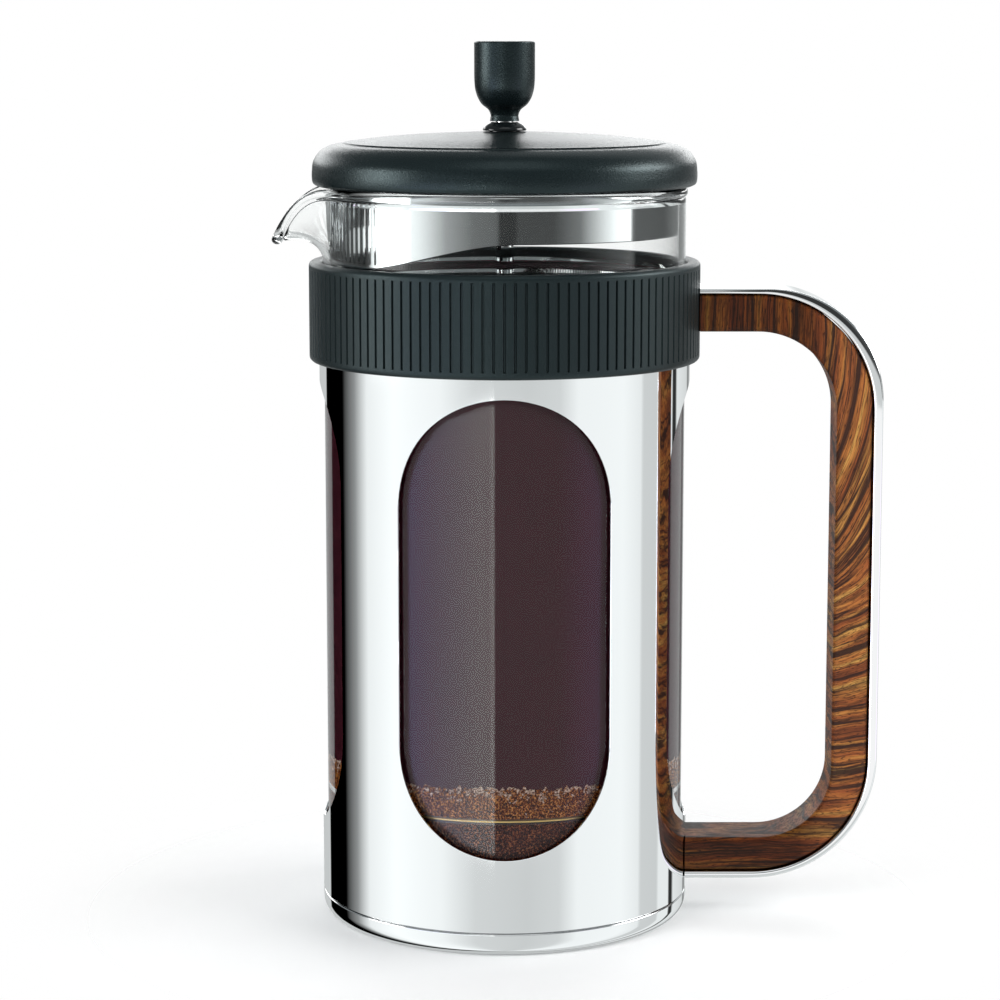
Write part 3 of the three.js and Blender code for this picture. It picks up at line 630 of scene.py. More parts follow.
def buildSleeve():
    # a sheet rolled into a tube, with four round-ended windows
    s = sleeveSizes
    bottom, top = sleeveLow[2], sleeveHigh[2]
    lowRows, midRows, topRows = s["lowRows"], s["midRows"], s["topRows"]
    rows = lowRows + midRows + topRows + 1
    columns = windowColumns()
    vertices, faces = [], []
    for angle, lower, upper, _ in columns:
        a = math.radians(angle)
        heights = [bottom + (lower - bottom) * k / lowRows for k in range(lowRows)]
        heights += [lower + (upper - lower) * k / midRows for k in range(midRows)]
        heights += [upper + (top - upper) * k / topRows for k in range(topRows + 1)]
        vertices += [(frameRadius * math.cos(a), frameRadius * math.sin(a), z) for z in heights]
    for i, column in enumerate(columns):
        j = (i + 1) % len(columns)
        for k in range(rows - 1):
            if column[3] and lowRows <= k < lowRows + midRows:
                continue
            faces.append((i * rows + k, j * rows + k, j * rows + k + 1, i * rows + k + 1))
    sleeve = cleanUp(makePiece("windowedSleeve", vertices, faces))
    shape = bmesh.new()
    shape.from_mesh(sleeve.data)
    bmesh.ops.delete(shape, geom=[v for v in shape.verts if not v.link_faces], context="VERTS")
    shape.to_mesh(sleeve.data)
    shape.free()
    outward = sum(f.normal.dot(f.center) for f in sleeve.data.polygons)
    if outward < 0:
        sleeve.data.flip_normals()
    wall = sleeve.modifiers.new("wall", "SOLIDIFY")
    wall.thickness = sleeveSheet * mm
    wall.offset = -1
    edges = sleeve.modifiers.new("edges", "BEVEL")
    edges.width = s["edge"] * mm
    edges.segments = 2
    edges.limit_method = "ANGLE"
    edges.angle_limit = math.radians(50)
    bakeModifiers(sleeve)
    smoothOff(sleeve, 60)
    roundNormals(sleeve.data)
    settle(sleeve, "frame", "steel", "polished_steel", "sleeve")


collarSizes = {
    "grooves": 120,
    "grooveWidth": 0.55,
    "grooveDepth": 0.55,
    "margin": 2.0,  # smooth band above and below the grooves
    "edge": 1.3,
    "lipHeight": 2.5,
    "lipEdge": 1.1,
    "lipGap": 0.4,  # to the glass
    "pocketHeight": 10.5, "pocketDepth": 1.6,  # room for the upper bracket and the wood's end
}


def buildCollar():
    # one grooved slice, copied round the axis
    sizes = collarSizes
    outside, bottom, top = collarHigh[0], collarLow[2], collarHigh[2]
    inside = frameRadius + gap
    lipInside = rimRadius - beakerSizes["bead"] + sizes["lipGap"]
    edge = sizes["edge"]
    start, end = bottom + sizes["margin"], top - sizes["margin"]
    # (r, z, depth share) from the inside round the outside and back in
    corner = [(outside - edge + edge * math.cos(a), edge * math.sin(a)) for a in
              [math.radians(15 * k) for k in range(7)]]
    outline = [(inside, bottom, 0)]
    outline += [(r, bottom + edge - up, 0) for r, up in reversed(corner)]
    outline += [(outside, start - 0.05, 0), (outside, start + 0.25, 1), (outside, (start + end) / 2, 1)]
    outline += [(outside, end - 0.25, 1), (outside, end + 0.05, 0)]
    outline += [(r, top - edge + up, 0) for r, up in corner]
    lip = sizes["lipEdge"]
    outline += [(lipInside + lip - lip * math.sin(a), top - lip + lip * math.cos(a), 0) for a in
                [math.radians(18 * k) for k in range(6)]]
    outline += [(lipInside, top - sizes["lipHeight"], 0), (inside, top - sizes["lipHeight"], 0)]
    pitch = 2 * math.pi / sizes["grooves"]
    half = sizes["grooveWidth"] / outside / 2
    across = [(-pitch / 2, 0), (-pitch / 4, 0), (-half * 1.35, 0), (-half, 0.35), (-half * 0.55, 1),
              (half * 0.55, 1), (half, 0.35), (half * 1.35, 0), (pitch / 4, 0), (pitch / 2, 0)]
    vertices, faces = [], []
    count = len(outline)
    for angle, cut in across:
        for r, z, share in outline:
            deep = r - sizes["grooveDepth"] * cut * share
            vertices.append((deep * math.cos(angle), deep * math.sin(angle), z))
    for i in range(len(across) - 1):
        for k in range(count):
            n = (k + 1) % count
            faces.append((i * count + k, (i + 1) * count + k, (i + 1) * count + n, i * count + n))
    collar = makePiece("ribbedCollar", vertices, faces)
    runTree(collar, copiesRoundAxis, Copies=sizes["grooves"], Pitch=pitch, First=0.0,
            Finish=finishes["collarBlack"])
    cleanUp(collar)
    bracketLow, bracketHigh = span("upper_bracket")
    pocket = block("pocket", (inside - 1, bracketLow[1] - gap, gripHigh[2] - sizes["pocketHeight"]),
                   (frameRadius + sizes["pocketDepth"], bracketHigh[1] + gap, gripHigh[2] + gap))
    cutWith(collar, pocket)
    smoothOff(collar, 38)
    settle(collar, "frame", "collarBlack", "black_plastic", "collar")


handleSizes = {
    "edge": 1.5,
    "gripBack": 101.8, "gripTop": 175.5, "gripBottom": 12.5,
    "innerBack": 91.9, "innerTop": 165.3, "innerBottom": 21.9,
    "outerCorner": 32.0, "innerTopCorner": 22.0, "innerBottomCorner": 20.0,
    "strapTopCorner": 31.5, "strapBottomCorner": 35.0,
    "strapEdge": 0.6,
    "counterbore": (3.7, 167.3),  # radius, and how high it reaches
}


def hoopLine(back, top, bottom, topCorner, bottomCorner, starts):
    # from the frame out along the top, round the back and in along the bottom
    def straight(a, b, steps):
        return [(a[0] + (b[0] - a[0]) * k / steps, a[1] + (b[1] - a[1]) * k / steps) for k in range(steps)]

    def bend(cx, cz, radius, fromDeg, steps):
        angles = [math.radians(fromDeg - 90 * k / steps) for k in range(steps)]
        return [(cx + radius * math.cos(a), cz + radius * math.sin(a)) for a in angles]

    upper, lower = starts
    line = straight((upper, top), (back - topCorner, top), 16)
    line += bend(back - topCorner, top - topCorner, topCorner, 90, 60)
    line += straight((back, top - topCorner), (back, bottom + bottomCorner), 60)
    line += bend(back - bottomCorner, bottom + bottomCorner, bottomCorner, 0, 60)
    line += straight((back - bottomCorner, bottom), (lower, bottom), 16)
    line.append((lower, bottom))
    return line


def hoop(name, outer, inner, width, edge, ends):
    # a bar of rounded section that follows two lines; its ends are hollowed to fit the round frame
    section = []  # share from inner to outer, edge offsets along the bar's thickness and across it
    for side, facing, fromDeg in ((0, -1, 180), (1, -1, 270), (1, 1, 0), (0, 1, 90)):
        for k in range(5):
            a = math.radians(fromDeg + 90 * k / 4)
            section.append((side, facing, math.cos(a), math.sin(a)))
    half = width / 2
    vertices, faces = [], []
    count = len(section)
    last = len(outer) - 1
    for i, (o, n) in enumerate(zip(outer, inner)):
        direction = Vector((o[0] - n[0], o[1] - n[1]))
        thick = direction.length
        direction.normalize()
        for side, facing, c, s in section:
            along = (thick - edge if side else edge) + edge * c
            y = facing * (half - edge) + edge * s
            x, z = n[0] + direction.x * along, n[1] + direction.y * along
            if i in (0, last):
                reach = ends[0] if i == 0 else ends[1]
                x = math.sqrt(reach * reach - y * y)
            vertices.append((x, y, z))
    for i in range(last):
        for k in range(count):
            n = (k + 1) % count
            faces.append((i * count + k, i * count + n, (i + 1) * count + n, (i + 1) * count + k))
    faces.append(tuple(range(count)))
    faces.append(tuple(last * count + k for k in reversed(range(count))))
    return cleanUp(makePiece(name, vertices, faces))


# how steep the wood's rings stand on the side face, in degrees, at heights in mm
ringSlope = [(12, 1.5), (30, 4), (45, 6), (60, 11), (75, 19), (87, 30), (97, 42), (108, 55),
             (120, 66), (135, 75), (150, 82), (165, 87), (178, 91)]


def markGrain(piece):
    heights = np.linspace(5, 185, 721)
    slopes = np.radians(np.interp(heights, *zip(*ringSlope)))
    drift = 1 / np.tan(slopes)
    fromTop = np.concatenate([[0], np.cumsum(((drift[1:] + drift[:-1]) / 2 * np.diff(heights))[::-1])])[::-1]
    back = 97.0
    marks = back + fromTop  # a ring's mark where it meets the back arm's middle
    rise = np.sin(slopes)
    order = np.argsort(marks)
    width = np.concatenate([[0], np.cumsum((rise[order][1:] + rise[order][:-1]) / 2 * np.diff(marks[order]))])
    spots = np.array([v.co for v in piece.data.vertices]) / mm
    mark = spots[:, 0] + np.interp(spots[:, 2], heights, fromTop)
    across = np.interp(mark, marks[order], width) + np.minimum(mark - marks.min(), 0)
    slope = np.interp(spots[:, 2], heights, slopes)
    along = spots[:, 0] * np.cos(slope) + spots[:, 2] * np.sin(slope)
    values = np.stack([across, along, spots[:, 1]], 1) * mm
    grain = piece.data.attributes.new("grain", "FLOAT_VECTOR", "POINT")
    grain.data.foreach_set("vector", values.astype(np.float32).ravel())


def buildHandle():
    s = handleSizes
    upperEnd, lowerEnd = collarHigh[0] + gap, frameRadius + gap
    starts = (upperEnd + 0.8, lowerEnd + 0.8)
    outer = hoopLine(s["gripBack"], s["gripTop"], s["gripBottom"], s["outerCorner"], s["outerCorner"], starts)
    inner = hoopLine(s["innerBack"], s["innerTop"], s["innerBottom"], s["innerTopCorner"],
                     s["innerBottomCorner"], starts)
    width = gripHigh[1] - gripLow[1]
    grip = hoop("handleGrip", outer, inner, width, s["edge"], (upperEnd, lowerEnd))
    radius, roof = s["counterbore"]
    screwMiddle = sum(span("upper_screw")[i][0] for i in (0, 1)) / 2
    start = s["innerTop"] - 15
    drill = turned("drill", [(0, start), (radius, start), (radius, roof), (0, roof)], 40,
                   lambda p: (p[0] + screwMiddle, p[1], p[2]))
    cutWith(grip, drill)
    markGrain(grip)
    smoothOff(grip, 40)
    settle(grip, "frame", "wood", "rosewood", "handle_grip")
    corner = s["outerCorner"] + gap
    outer = hoopLine(strapHigh[0], strapHigh[2], strapLow[2], s["strapTopCorner"],
                     s["strapBottomCorner"], starts)
    inner = hoopLine(s["gripBack"] + gap, s["gripTop"] + gap, s["gripBottom"] - gap, corner, corner, starts)
    strap = hoop("handleStrap", outer, inner, width, s["strapEdge"], (upperEnd, lowerEnd))
    smoothOff(strap, 35)
    settle(strap, "frame", "steel", "polished_steel", "handle_strap")


screwSizes = {
    "head": 3.4, "headHeight": 1.4, "shank": 1.7,
    "recess": 0.8, "recessReach": 1.9, "recessWidth": 0.75,
}


def buildScrew(name, node):
    low, high = span(node)
    s = screwSizes
    middle = (low[0] + high[0]) / 2
    shoulder = low[2] + s["headHeight"]
    profile = [(0, low[2])]
    profile += [(s["head"] * math.sin(a), low[2] + s["headHeight"] * 0.75 * (1 - math.cos(a)))
                for a in [math.radians(15 * k) for k in range(1, 7)]]
    profile += [(s["head"], shoulder), (s["shank"], shoulder)]
    profile += [(s["shank"], high[2] - s["shank"]), (0, high[2])]
    screw = turned(name, profile, 64, lambda p: (p[0] + middle, p[1], p[2]))
    reach, width = s["recessReach"], s["recessWidth"] / 2
    for x, y in ((reach, width), (width, reach)):
        cutWith(screw, block("recess", (middle - x, -y, low[2] - 1), (middle + x, y, low[2] + s["recess"])))
    smoothOff(screw, 35)
    settle(screw, "frame", "brushed", "brushed_steel", node)


beakerSizes = {
    "wall": glassWall, "floor": 3.0, "corner": 8.0,
    "bead": 0.55, "beadHeight": 2.8,
    "spoutHeight": 20.9, "spoutReach": 15.3, "spoutDrop": 15.2, "spoutHalfAngle": 30.0,
    "spoutBend": 1.6, "spoutFall": 1.9, "spoutNarrowing": 2.6,
}


def spoutShape(point):
    s = beakerSizes
    root = glassHigh[2] - s["spoutHeight"]
    x, y, z = point
    angle = math.atan2(y, -x)
    share = min(abs(angle) / math.radians(s["spoutHalfAngle"]), 1)
    flare = math.cos(share * math.pi / 2) ** 3
    if z <= root or flare <= 1e-6:
        return point
    middle = rimRadius - s["bead"] - s["wall"] / 2
    offset = math.hypot(x, y) - middle
    along = (z - root) / s["spoutHeight"]
    reach, drop = s["spoutReach"] * flare, s["spoutDrop"] * flare ** s["spoutNarrowing"]
    bend, fall = s["spoutBend"], s["spoutFall"]
    slopeR = reach * bend * along ** (bend - 1) / s["spoutHeight"]
    slopeZ = 1 - drop * fall * along ** (fall - 1) / s["spoutHeight"]
    length = math.hypot(slopeR, slopeZ)
    r = middle + reach * along ** bend + offset * slopeZ / length
    newZ = z - drop * along ** fall - offset * slopeR / length
    return (-r * math.cos(angle), r * math.sin(angle), newZ)


def buildBeaker():
    s = beakerSizes
    outside = rimRadius - s["bead"]
    inside = outside - s["wall"]
    low, top = glassLow[2], glassHigh[2]
    root = top - s["spoutHeight"]
    beadBottom = top - s["beadHeight"]
    rows = [root + (beadBottom - 0.4 - root) * k / 14 for k in range(15)]
    outer = [(outside, z) for z in rows]
    centreR, centreZ = (outside + inside) / 2, top - s["beadHeight"] / 2
    halfR, halfZ = s["wall"] / 2 + s["bead"], s["beadHeight"] / 2
    innerHalfR = s["wall"] / 2 + 0.15
    bead = []  # from under its outer side, over the top, to the inner wall
    for k in range(15):
        a = math.radians(-72 + 180 * k / 14)
        reach = halfR if math.cos(a) > 0 else innerHalfR
        bead.append((centreR + reach * math.cos(a), centreZ + halfZ * math.sin(a)))
    inner = [(inside, z) for z in reversed(rows)]
    floorTop, wallUp = low + s["floor"], low + 40  # wallUp only shows the corners which way to bend
    outerCorner = filleted([(0, low, 0), (outside, low, s["corner"]), (outside, wallUp, 0)], 14)[1:-1]
    innerCorner = filleted([
        (0, floorTop, 0), (inside, floorTop, s["corner"] - s["wall"]), (inside, wallUp, 0)], 12)[1:-1]
    profile = [(0, low)] + outerCorner + outer + bead + inner + innerCorner[::-1] + [(0, floorTop)]
    beaker = turned("glassBeaker", profile, 288, spoutShape)
    smoothOff(beaker, 80)
    settle(beaker, "beaker", "glass", "clear_glass", "glass_beaker")


coffeeSizes = {"level": 179.3, "meniscus": 1.6, "from": 42.0, "wall": 0.05}


contentsRadius = rimRadius - beakerSizes["bead"] - glassWall


def ripple(angle, seed):
    # a smooth wave made of a few whole-number harmonics, the same every run
    terms = ((5, 0.8), (11, 0.4), (23, 0.3), (41, 0.4), (67, 0.45), (103, 0.5), (157, 0.6), (211, 0.6))
    return sum(size * math.sin(n * angle + seed * (k + 1) * 1.7) for k, (n, size) in enumerate(terms)) / 2.2


def buildGrounds():
    # packed below the filter, loose above it
    s = groundsSizes
    wall = contentsRadius + s["wall"]
    floor = glassLow[2] + beakerSizes["floor"] - 0.05
    corner, bedTop = beakerSizes["corner"] - glassWall, meshLow[2] - s["belowMesh"]
    bed = turned("packedGrounds", filleted([
        (0, floor, 0), (wall, floor, corner), (wall, bedTop, 0.3), (0, bedTop, 0)], 10), 240)
    smoothOff(bed, 60)
    settle(bed, "beaker", "bed")
    top, foot = s["top"], meshHigh[2] + s["aboveMesh"]

    def wavyTop(point):
        x, y, z = point
        if z < meshHigh[2] + 3:
            return point
        wave = s["ripple"] * ripple(math.atan2(y, x), 2.0)
        return (x, y, z + wave * (z - meshHigh[2]) / (top - meshHigh[2]))

    loose = turned("looseGrounds", [
        (0, foot), (wall, foot), (wall, meshHigh[2] + 4), (wall, top - 2), (wall, top - 0.3),
        (wall - 0.5, top), (wall - 3, top - 0.6), (30, top - 1.5), (0, top - 1)], 720, wavyTop)
    smoothOff(loose, 70)
    settle(loose, "beaker", "grounds")


def buildCoffee():
    # one body, whose edge climbs the glass a little
    s = coffeeSizes
    level, rise = s["level"], s["meniscus"]
    side = contentsRadius + s["wall"]
    edge = [(side - rise + rise * math.sin(a), level + rise * (1 - math.cos(a)) * 0.7) for a in
            [math.radians(11.25 * k) for k in range(9)]]
    coffee = turned("coffee", [(0, s["from"]), (side - 1, s["from"]), (side, s["from"] + 0.8)]
                    + list(reversed(edge)) + [(0, level)], 240)
    smoothOff(coffee, 50)
    settle(coffee, "beaker", "coffee")
    coffee.data.materials.append(finishes["coffeeTop"])
    for face in coffee.data.polygons:
        if face.center.z > (level - 0.1) * mm and face.normal.z > 0.05:
            face.material_index = 1


lidSizes = {"edge": 1.3, "shoulder": 8.8, "crease": 11.4, "crownStep": 0.35, "wall": 2.0}


def buildLid():
    s = lidSizes
    radius, bottom, top = lidHigh[0], lidLow[2], lidHigh[2]
    seat = linerHigh[0] + gap
    crownRadius, crown = radius - s["shoulder"], bottom + s["crease"]
    hole = stemHole
    web = linerHigh[2] + gap
    side = curveThrough([
        (radius - s["edge"], bottom), (radius - 0.35, bottom + 0.55), (radius, bottom + 1.7),
        (radius, bottom + 4.0), (radius - 0.45, bottom + 6.8), (radius - 2.25, bottom + 9.4),
        (radius - 5.2, bottom + 10.95), (crownRadius + 0.5, crown), (crownRadius, crown - 0.02)], 6)
    cap = curveThrough([
        (crownRadius, crown - 0.02), (crownRadius - 0.35, crown + s["crownStep"]),
        (crownRadius - 1.4, crown + s["crownStep"] + 0.17), (30, top - 1.25), (7.2, top - 0.05),
        (hole, top)], 8)
    under = [(hole, web), (8.3, web), (9.3, top - 3), (crownRadius - 4, crown - s["wall"]),
             (seat, bottom + s["crease"] / 2), (seat, bottom)]
    shell = turned("lidShell", side + cap[1:] + under, 240)
    smoothOff(shell, 50)
    settle(shell, "lid", "black", "black_plastic", "lid_shell")


linerSizes = {
    "sheet": 0.6, "bend": 1.5, "deeper": 8.0, "flatAngle": 35.0, "fadeAngle": 95.0,
    "slots": 35, "slotPitch": 2.65, "slotWidth": 1.05, "slotMargin": 1.6, "slotTop": 3.6,
}


def buildLiner():
    s = linerSizes
    outside, top = linerHigh[0], linerHigh[2]
    shallow = linerLow[2] + s["deeper"]
    inside = outside - s["sheet"]
    web = top - s["sheet"]
    hole = stemHole

    def deepen(point):
        x, y, z = point
        angle = abs(math.degrees(math.atan2(y, -x)))
        t = max(0, min(1, (s["fadeAngle"] - angle) / (s["fadeAngle"] - s["flatAngle"])))
        share = max(0, (web - 2 - z) / (web - 2 - shallow))
        return (x, y, z - s["deeper"] * t * t * (3 - 2 * t) * share)

    skirt = [web - 3 - (web - 3 - shallow) * k / 8 for k in range(9)]
    profile = [(hole, web)]
    profile += filleted([(hole, web, 0), (inside, web, s["bend"]), (inside, shallow, 0)], 5)[1:-1]
    profile += [(inside, z) for z in skirt[:-1]]
    profile += [(inside, shallow + 0.2), (inside + 0.15, shallow)]
    profile += [(outside - 0.15, shallow), (outside, shallow + 0.2)]
    profile += [(outside, z) for z in reversed(skirt[:-1])]
    profile += filleted([(outside, shallow, 0), (outside, top, s["bend"] + 0.3), (hole, top, 0)], 5)[1:-1]
    profile += [(hole, top)]
    liner = turned("strainerCup", profile, 272, deepen)
    bottom = linerLow[2] + s["slotMargin"]
    slotTop = lidLow[2] - s["slotTop"]
    half = s["slotWidth"] / 2
    ends = [(half * math.cos(a), half * math.sin(a)) for a in [math.radians(22.5 * k) for k in range(16)]]
    corners = []  # the slot's round ends, the upper one lifted
    for y, z in ends:
        isUpper = z > 1e-9 or (abs(z) < 1e-9 and y > 0)
        corners.append((y, z + (slotTop - half if isUpper else bottom + half)))
    vertices = [(x, y, z) for x in (-outside - 2, -inside + 2) for y, z in corners]
    count = len(corners)
    faces = [(k, (k + 1) % count, count + (k + 1) % count, count + k) for k in range(count)]
    faces += [tuple(reversed(range(count))), tuple(range(count, 2 * count))]
    tool = cleanUp(makePiece("slotTool", vertices, faces))
    pitch = math.radians(s["slotPitch"])
    runTree(liner, cutRoundAxis, Copies=s["slots"], Pitch=pitch, First=-pitch * (s["slots"] - 1) / 2,
            Tool=tool, Finish=finishes["satin"])
    bpy.data.objects.remove(tool)
    cleanUp(liner)
    smoothOff(liner, 22)
    settle(liner, "lid", "satin", "brushed_steel", "lid_liner")


def buildGuide():
    low, high = span("rod_guide")
    hole, stem = rodHole, guideStem
    domeBottom = lidHigh[2] + gap
    height = high[2] - domeBottom
    rim = high[0]
    dome = curveThrough([
        (rim - 0.1, domeBottom), (rim, domeBottom + 0.25), (rim - 0.25, domeBottom + height * 0.42),
        (rim - 1.2, domeBottom + height * 0.78), (hole + 0.9, high[2]), (hole, high[2] - 0.05)], 5)
    bush = turned("rodGuide", [(hole, low[2]), (stem - 0.3, low[2]), (stem, low[2] + 0.3), (stem, domeBottom)]
                  + dome, 96)
    smoothOff(bush, 50)
    settle(bush, "guide", "gloss", "gloss_plastic", "rod_guide")
    low, high = span("guide_washer")
    washer = turned("guideWasher", filleted([
        (stemHole, low[2], 0.1), (high[0], low[2], 0.2), (high[0], high[2], 0.2),
        (stemHole, high[2], 0.1)], 3), 96)
    smoothOff(washer)
    settle(washer, "guide", "brushed", "brushed_steel", "guide_washer")


def buildNut(name, node, hole, body):
    # a hexagon turned down at both faces
    low, high = span(node)
    corner = max(high[0], high[1])
    bevel, face = corner * 0.09, corner * 0.9
    nut = turned(name, filleted([
        (hole, low[2], 0.15), (face, low[2], 0), (corner, low[2] + bevel, 0),
        (corner, high[2] - bevel, 0), (face, high[2], 0), (hole, high[2], 0.15)], 3), 96)
    flat = corner * math.cos(math.radians(30))
    start = 30 if high[0] > high[1] else 0
    for k in range(6):
        side = block("side", (flat, -corner, low[2] - 1), (flat + corner, corner, high[2] + 1))
        side.data.transform(Matrix.Rotation(math.radians(60 * k + start), 4, "Z"))
        cutWith(nut, side)
    cleanUp(nut)
    smoothOff(nut, 30)
    settle(nut, body, "brushed", "brushed_steel", node)


knobSizes = {"neck": 4.05, "bore": 16.0, "edge": 0.45}


def buildKnob():
    low, high = span("knob")
    radius, bottom, top = high[0], low[2], high[2]
    neck, hole = knobSizes["neck"], rodHole
    side = curveThrough([
        (neck, bottom), (neck - 0.15, bottom + 0.9), (neck - 0.2, bottom + 1.7), (neck + 0.45, bottom + 3.1),
        (neck + 2.14, bottom + 4.5), (neck + 3.1, bottom + 5.9), (neck + 3.64, bottom + 7.2),
        (radius - 0.22, bottom + 9.0), (radius - 0.03, bottom + 11.4), (radius, bottom + 13.5)], 6)
    rim = filleted([(radius, bottom + 14, 0), (radius, top, knobSizes["edge"]), (0, top, 0)], 5)[:-1]
    boreTop = bottom + knobSizes["bore"]
    insert = span("knob_insert")
    room = insert[1][0] + gap
    cavity = [(0, boreTop), (hole, boreTop), (hole, insert[1][2] + gap), (room, insert[1][2] + gap),
              (room, insert[0][2] - gap), (hole, insert[0][2] - gap), (hole, bottom)]
    knob = turned("knob", side + rim + [(0, top)] + cavity, 128)
    smoothOff(knob, 50)
    settle(knob, "plunger", "black", "black_plastic", "knob")
    brass = turned("knobInsert", filleted([
        (hole, insert[0][2], 0), (insert[1][0], insert[0][2], 0.3), (insert[1][0], insert[1][2], 0.3),
        (hole, insert[1][2], 0)], 3), 64)
    smoothOff(brass)
    settle(brass, "plunger", "brass", "brass", "knob_insert")


def buildRod():
    low, high = span("plunger_rod")
    rod = turned("plungerRod", filleted([
        (0, low[2], 0), (high[0], low[2], 0.5), (high[0], high[2], 0.5), (0, high[2], 0)], 4), 64)
    smoothOff(rod)
    settle(rod, "plunger", "steel", "polished_steel", "plunger_rod")
    low, high = span("rod_collar")
    stop = turned("rodStop", filleted([
        (rodHole, low[2], 0.1), (high[0], low[2], 0.4), (high[0], high[2], 0.6),
        (rodHole, high[2], 0.1)], 4), 64)
    smoothOff(stop)
    settle(stop, "plunger", "brushed", "brushed_steel", "rod_collar")


filterSizes = {
    "sheet": 0.8, "holes": 12, "holeRadius": 3.4, "holeInset": 13.6,
    "wire": 0.25, "turns": 150, "steps": 12,
    "weave": 0.4, "hem": 1.0,
    "ring": 5.0, "hub": 9.0, "spoke": 9.0,
}


def buildSpiralPlate():
    s = filterSizes
    low, high = span("spiral_plate")
    radius, sheet = high[0], s["sheet"]
    hole = rodHole
    plate = turned("spiralPlate", filleted([
        (hole, high[2] - sheet, 0), (radius - sheet, high[2] - sheet, 0.3), (radius - sheet, low[2], 0),
        (radius, low[2], 0.2), (radius, high[2], 1.0), (hole, high[2], 0)], 5), 192)
    circle = radius - s["holeInset"]
    tool = turned("holeTool", [(0, low[2]), (s["holeRadius"], low[2]), (s["holeRadius"], high[2] + 1),
                               (0, high[2] + 1)], 40, lambda p: (p[0] + circle, p[1], p[2]))
    runTree(plate, cutRoundAxis, Copies=s["holes"], Pitch=2 * math.pi / s["holes"], First=0.0, Tool=tool,
            Finish=finishes["brushed"])
    bpy.data.objects.remove(tool)
    cleanUp(plate)
    smoothOff(plate, 35)
    settle(plate, "plunger", "brushed", "brushed_steel", "spiral_plate")


def buildRimSpring():
    s = filterSizes
    low, high = span("rim_spring")
    coilRadius = (high[2] - low[2]) / 2
    # the tree draws the whole coil and drops this triangle
    spring = makePiece("rimSpring", [(0, 0, 0), (1, 0, 0), (0, 1, 0)], [(0, 1, 2)])
    runTree(spring, coilTree(), **{
        "Ring Radius": (high[0] - coilRadius) * mm, "Coil Radius": (coilRadius - s["wire"]) * mm,
        "Wire Radius": s["wire"] * mm, "Height": (low[2] + high[2]) / 2 * mm,
        "Turns": s["turns"], "Steps": s["steps"], "Finish": finishes["spring"]})
    cleanUp(spring, 0.0005)
    spring.data.shade_smooth()
    settle(spring, "plunger", "spring", "spring_steel", "rim_spring")


def buildMesh():
    # thin in the middle, with a folded hem round it
    s = filterSizes
    low, high = span("mesh_filter")
    middle, hem = (low[2] + high[2]) / 2, high[0]
    hole, half = rodHole, s["weave"] / 2
    weave = turned("meshFilter", filleted([
        (hole, middle - half, 0), (hem - s["hem"], middle - half, 0), (hem - s["hem"], low[2], 0.15),
        (hem, low[2], 0.3), (hem, high[2], 0.3), (hem - s["hem"], high[2], 0.15),
        (hem - s["hem"], middle + half, 0), (hole, middle + half, 0)], 4), 192)
    smoothOff(weave, 50)
    settle(weave, "plunger", "stained", "brushed_steel", "mesh_filter")


def buildCrossPlate():
    # a ring, a hub and the spokes between them
    s = filterSizes
    low, high = span("cross_plate")
    radius, hole = high[0], rodHole
    spokes = block("crossSpoke", (s["hub"] - 1, -s["spoke"] / 2, low[2]),
                   (radius - s["ring"] + 1, s["spoke"] / 2, high[2]))
    runTree(spokes, copiesRoundAxis, Copies=4, Pitch=math.pi / 2, First=0.0, Finish=finishes["brushed"])
    cross = turned("crossPlate", filleted([
        (radius - s["ring"], low[2], 0.2), (radius, low[2], 0.3), (radius, high[2], 0.3),
        (radius - s["ring"], high[2], 0.2)], 3), 192)
    hub = turned("crossHub", filleted([
        (hole, low[2], 0), (s["hub"], low[2], 0.2), (s["hub"], high[2], 0.2), (hole, high[2], 0)], 3), 96)
    for part in (spokes, hub):
        tool = cross.modifiers.new("join", "BOOLEAN")
        tool.operation = "UNION"
        tool.solver = "EXACT"
        tool.object = part
        bakeModifiers(cross)
        bpy.data.objects.remove(part)
    cleanUp(cross)
    smoothOff(cross, 35)
    settle(cross, "plunger", "brushed", "brushed_steel", "cross_plate")


studio = {
    "camera": (0, -0.8459, 0.2500), "tilt": -8.93, "lens": 109.86, "shift": -0.0046,
    "floorRadius": 155, "fadeFrom": 55, "floorColour": (0.95, 0.95, 0.95),
    "keyPower": 9.0, "fillPower": 5.0,
    "world": 1.0,
}


def setCamera():
    lens = bpy.data.cameras.new("camera")
    lens.lens = studio["lens"]
    lens.sensor_width = 36
    lens.shift_x = studio["shift"]
    lens.clip_start = 0.01
    camera = bpy.data.objects.new("camera", lens)
    camera.location = studio["camera"]
    camera.rotation_euler = (math.radians(90 + studio["tilt"]), 0, 0)
    bpy.context.scene.collection.objects.link(camera)
    bpy.context.scene.camera = camera


def setFloor():
    # a pale disc that fades into the white round it
    floor = turned("floor", [(0, 0), (studio["floorRadius"], 0), (0, 0)], 96)
    material, tree, surface = fresh("palePaper")
    where = place(tree)
    fleck = cloud(tree, where, 300.0, 2)
    far = put(tree, "ShaderNodeVectorMath", {0: where}, operation="LENGTH").outputs[1]
    fade = eased(tree, far, studio["fadeFrom"] * mm, studio["floorRadius"] * mm * 0.97, 1.0, 0.0)
    tune(surface, tree, basecolor=(*studio["floorColour"], 1), alpha=fade,
         roughness=spread(tree, fleck, 0, 1, 0.7, 0.8))
    floor.data.materials.append(material)
    floor.visible_glossy = False


def band(tree, value, low, high, soft):
    # 1 between low and high, easing to 0 over soft on each side
    rising = eased(tree, value, low - soft, low + soft)
    falling = eased(tree, value, high - soft, high + soft, 1.0, 0.0)
    return calc(tree, "MULTIPLY", rising, falling)


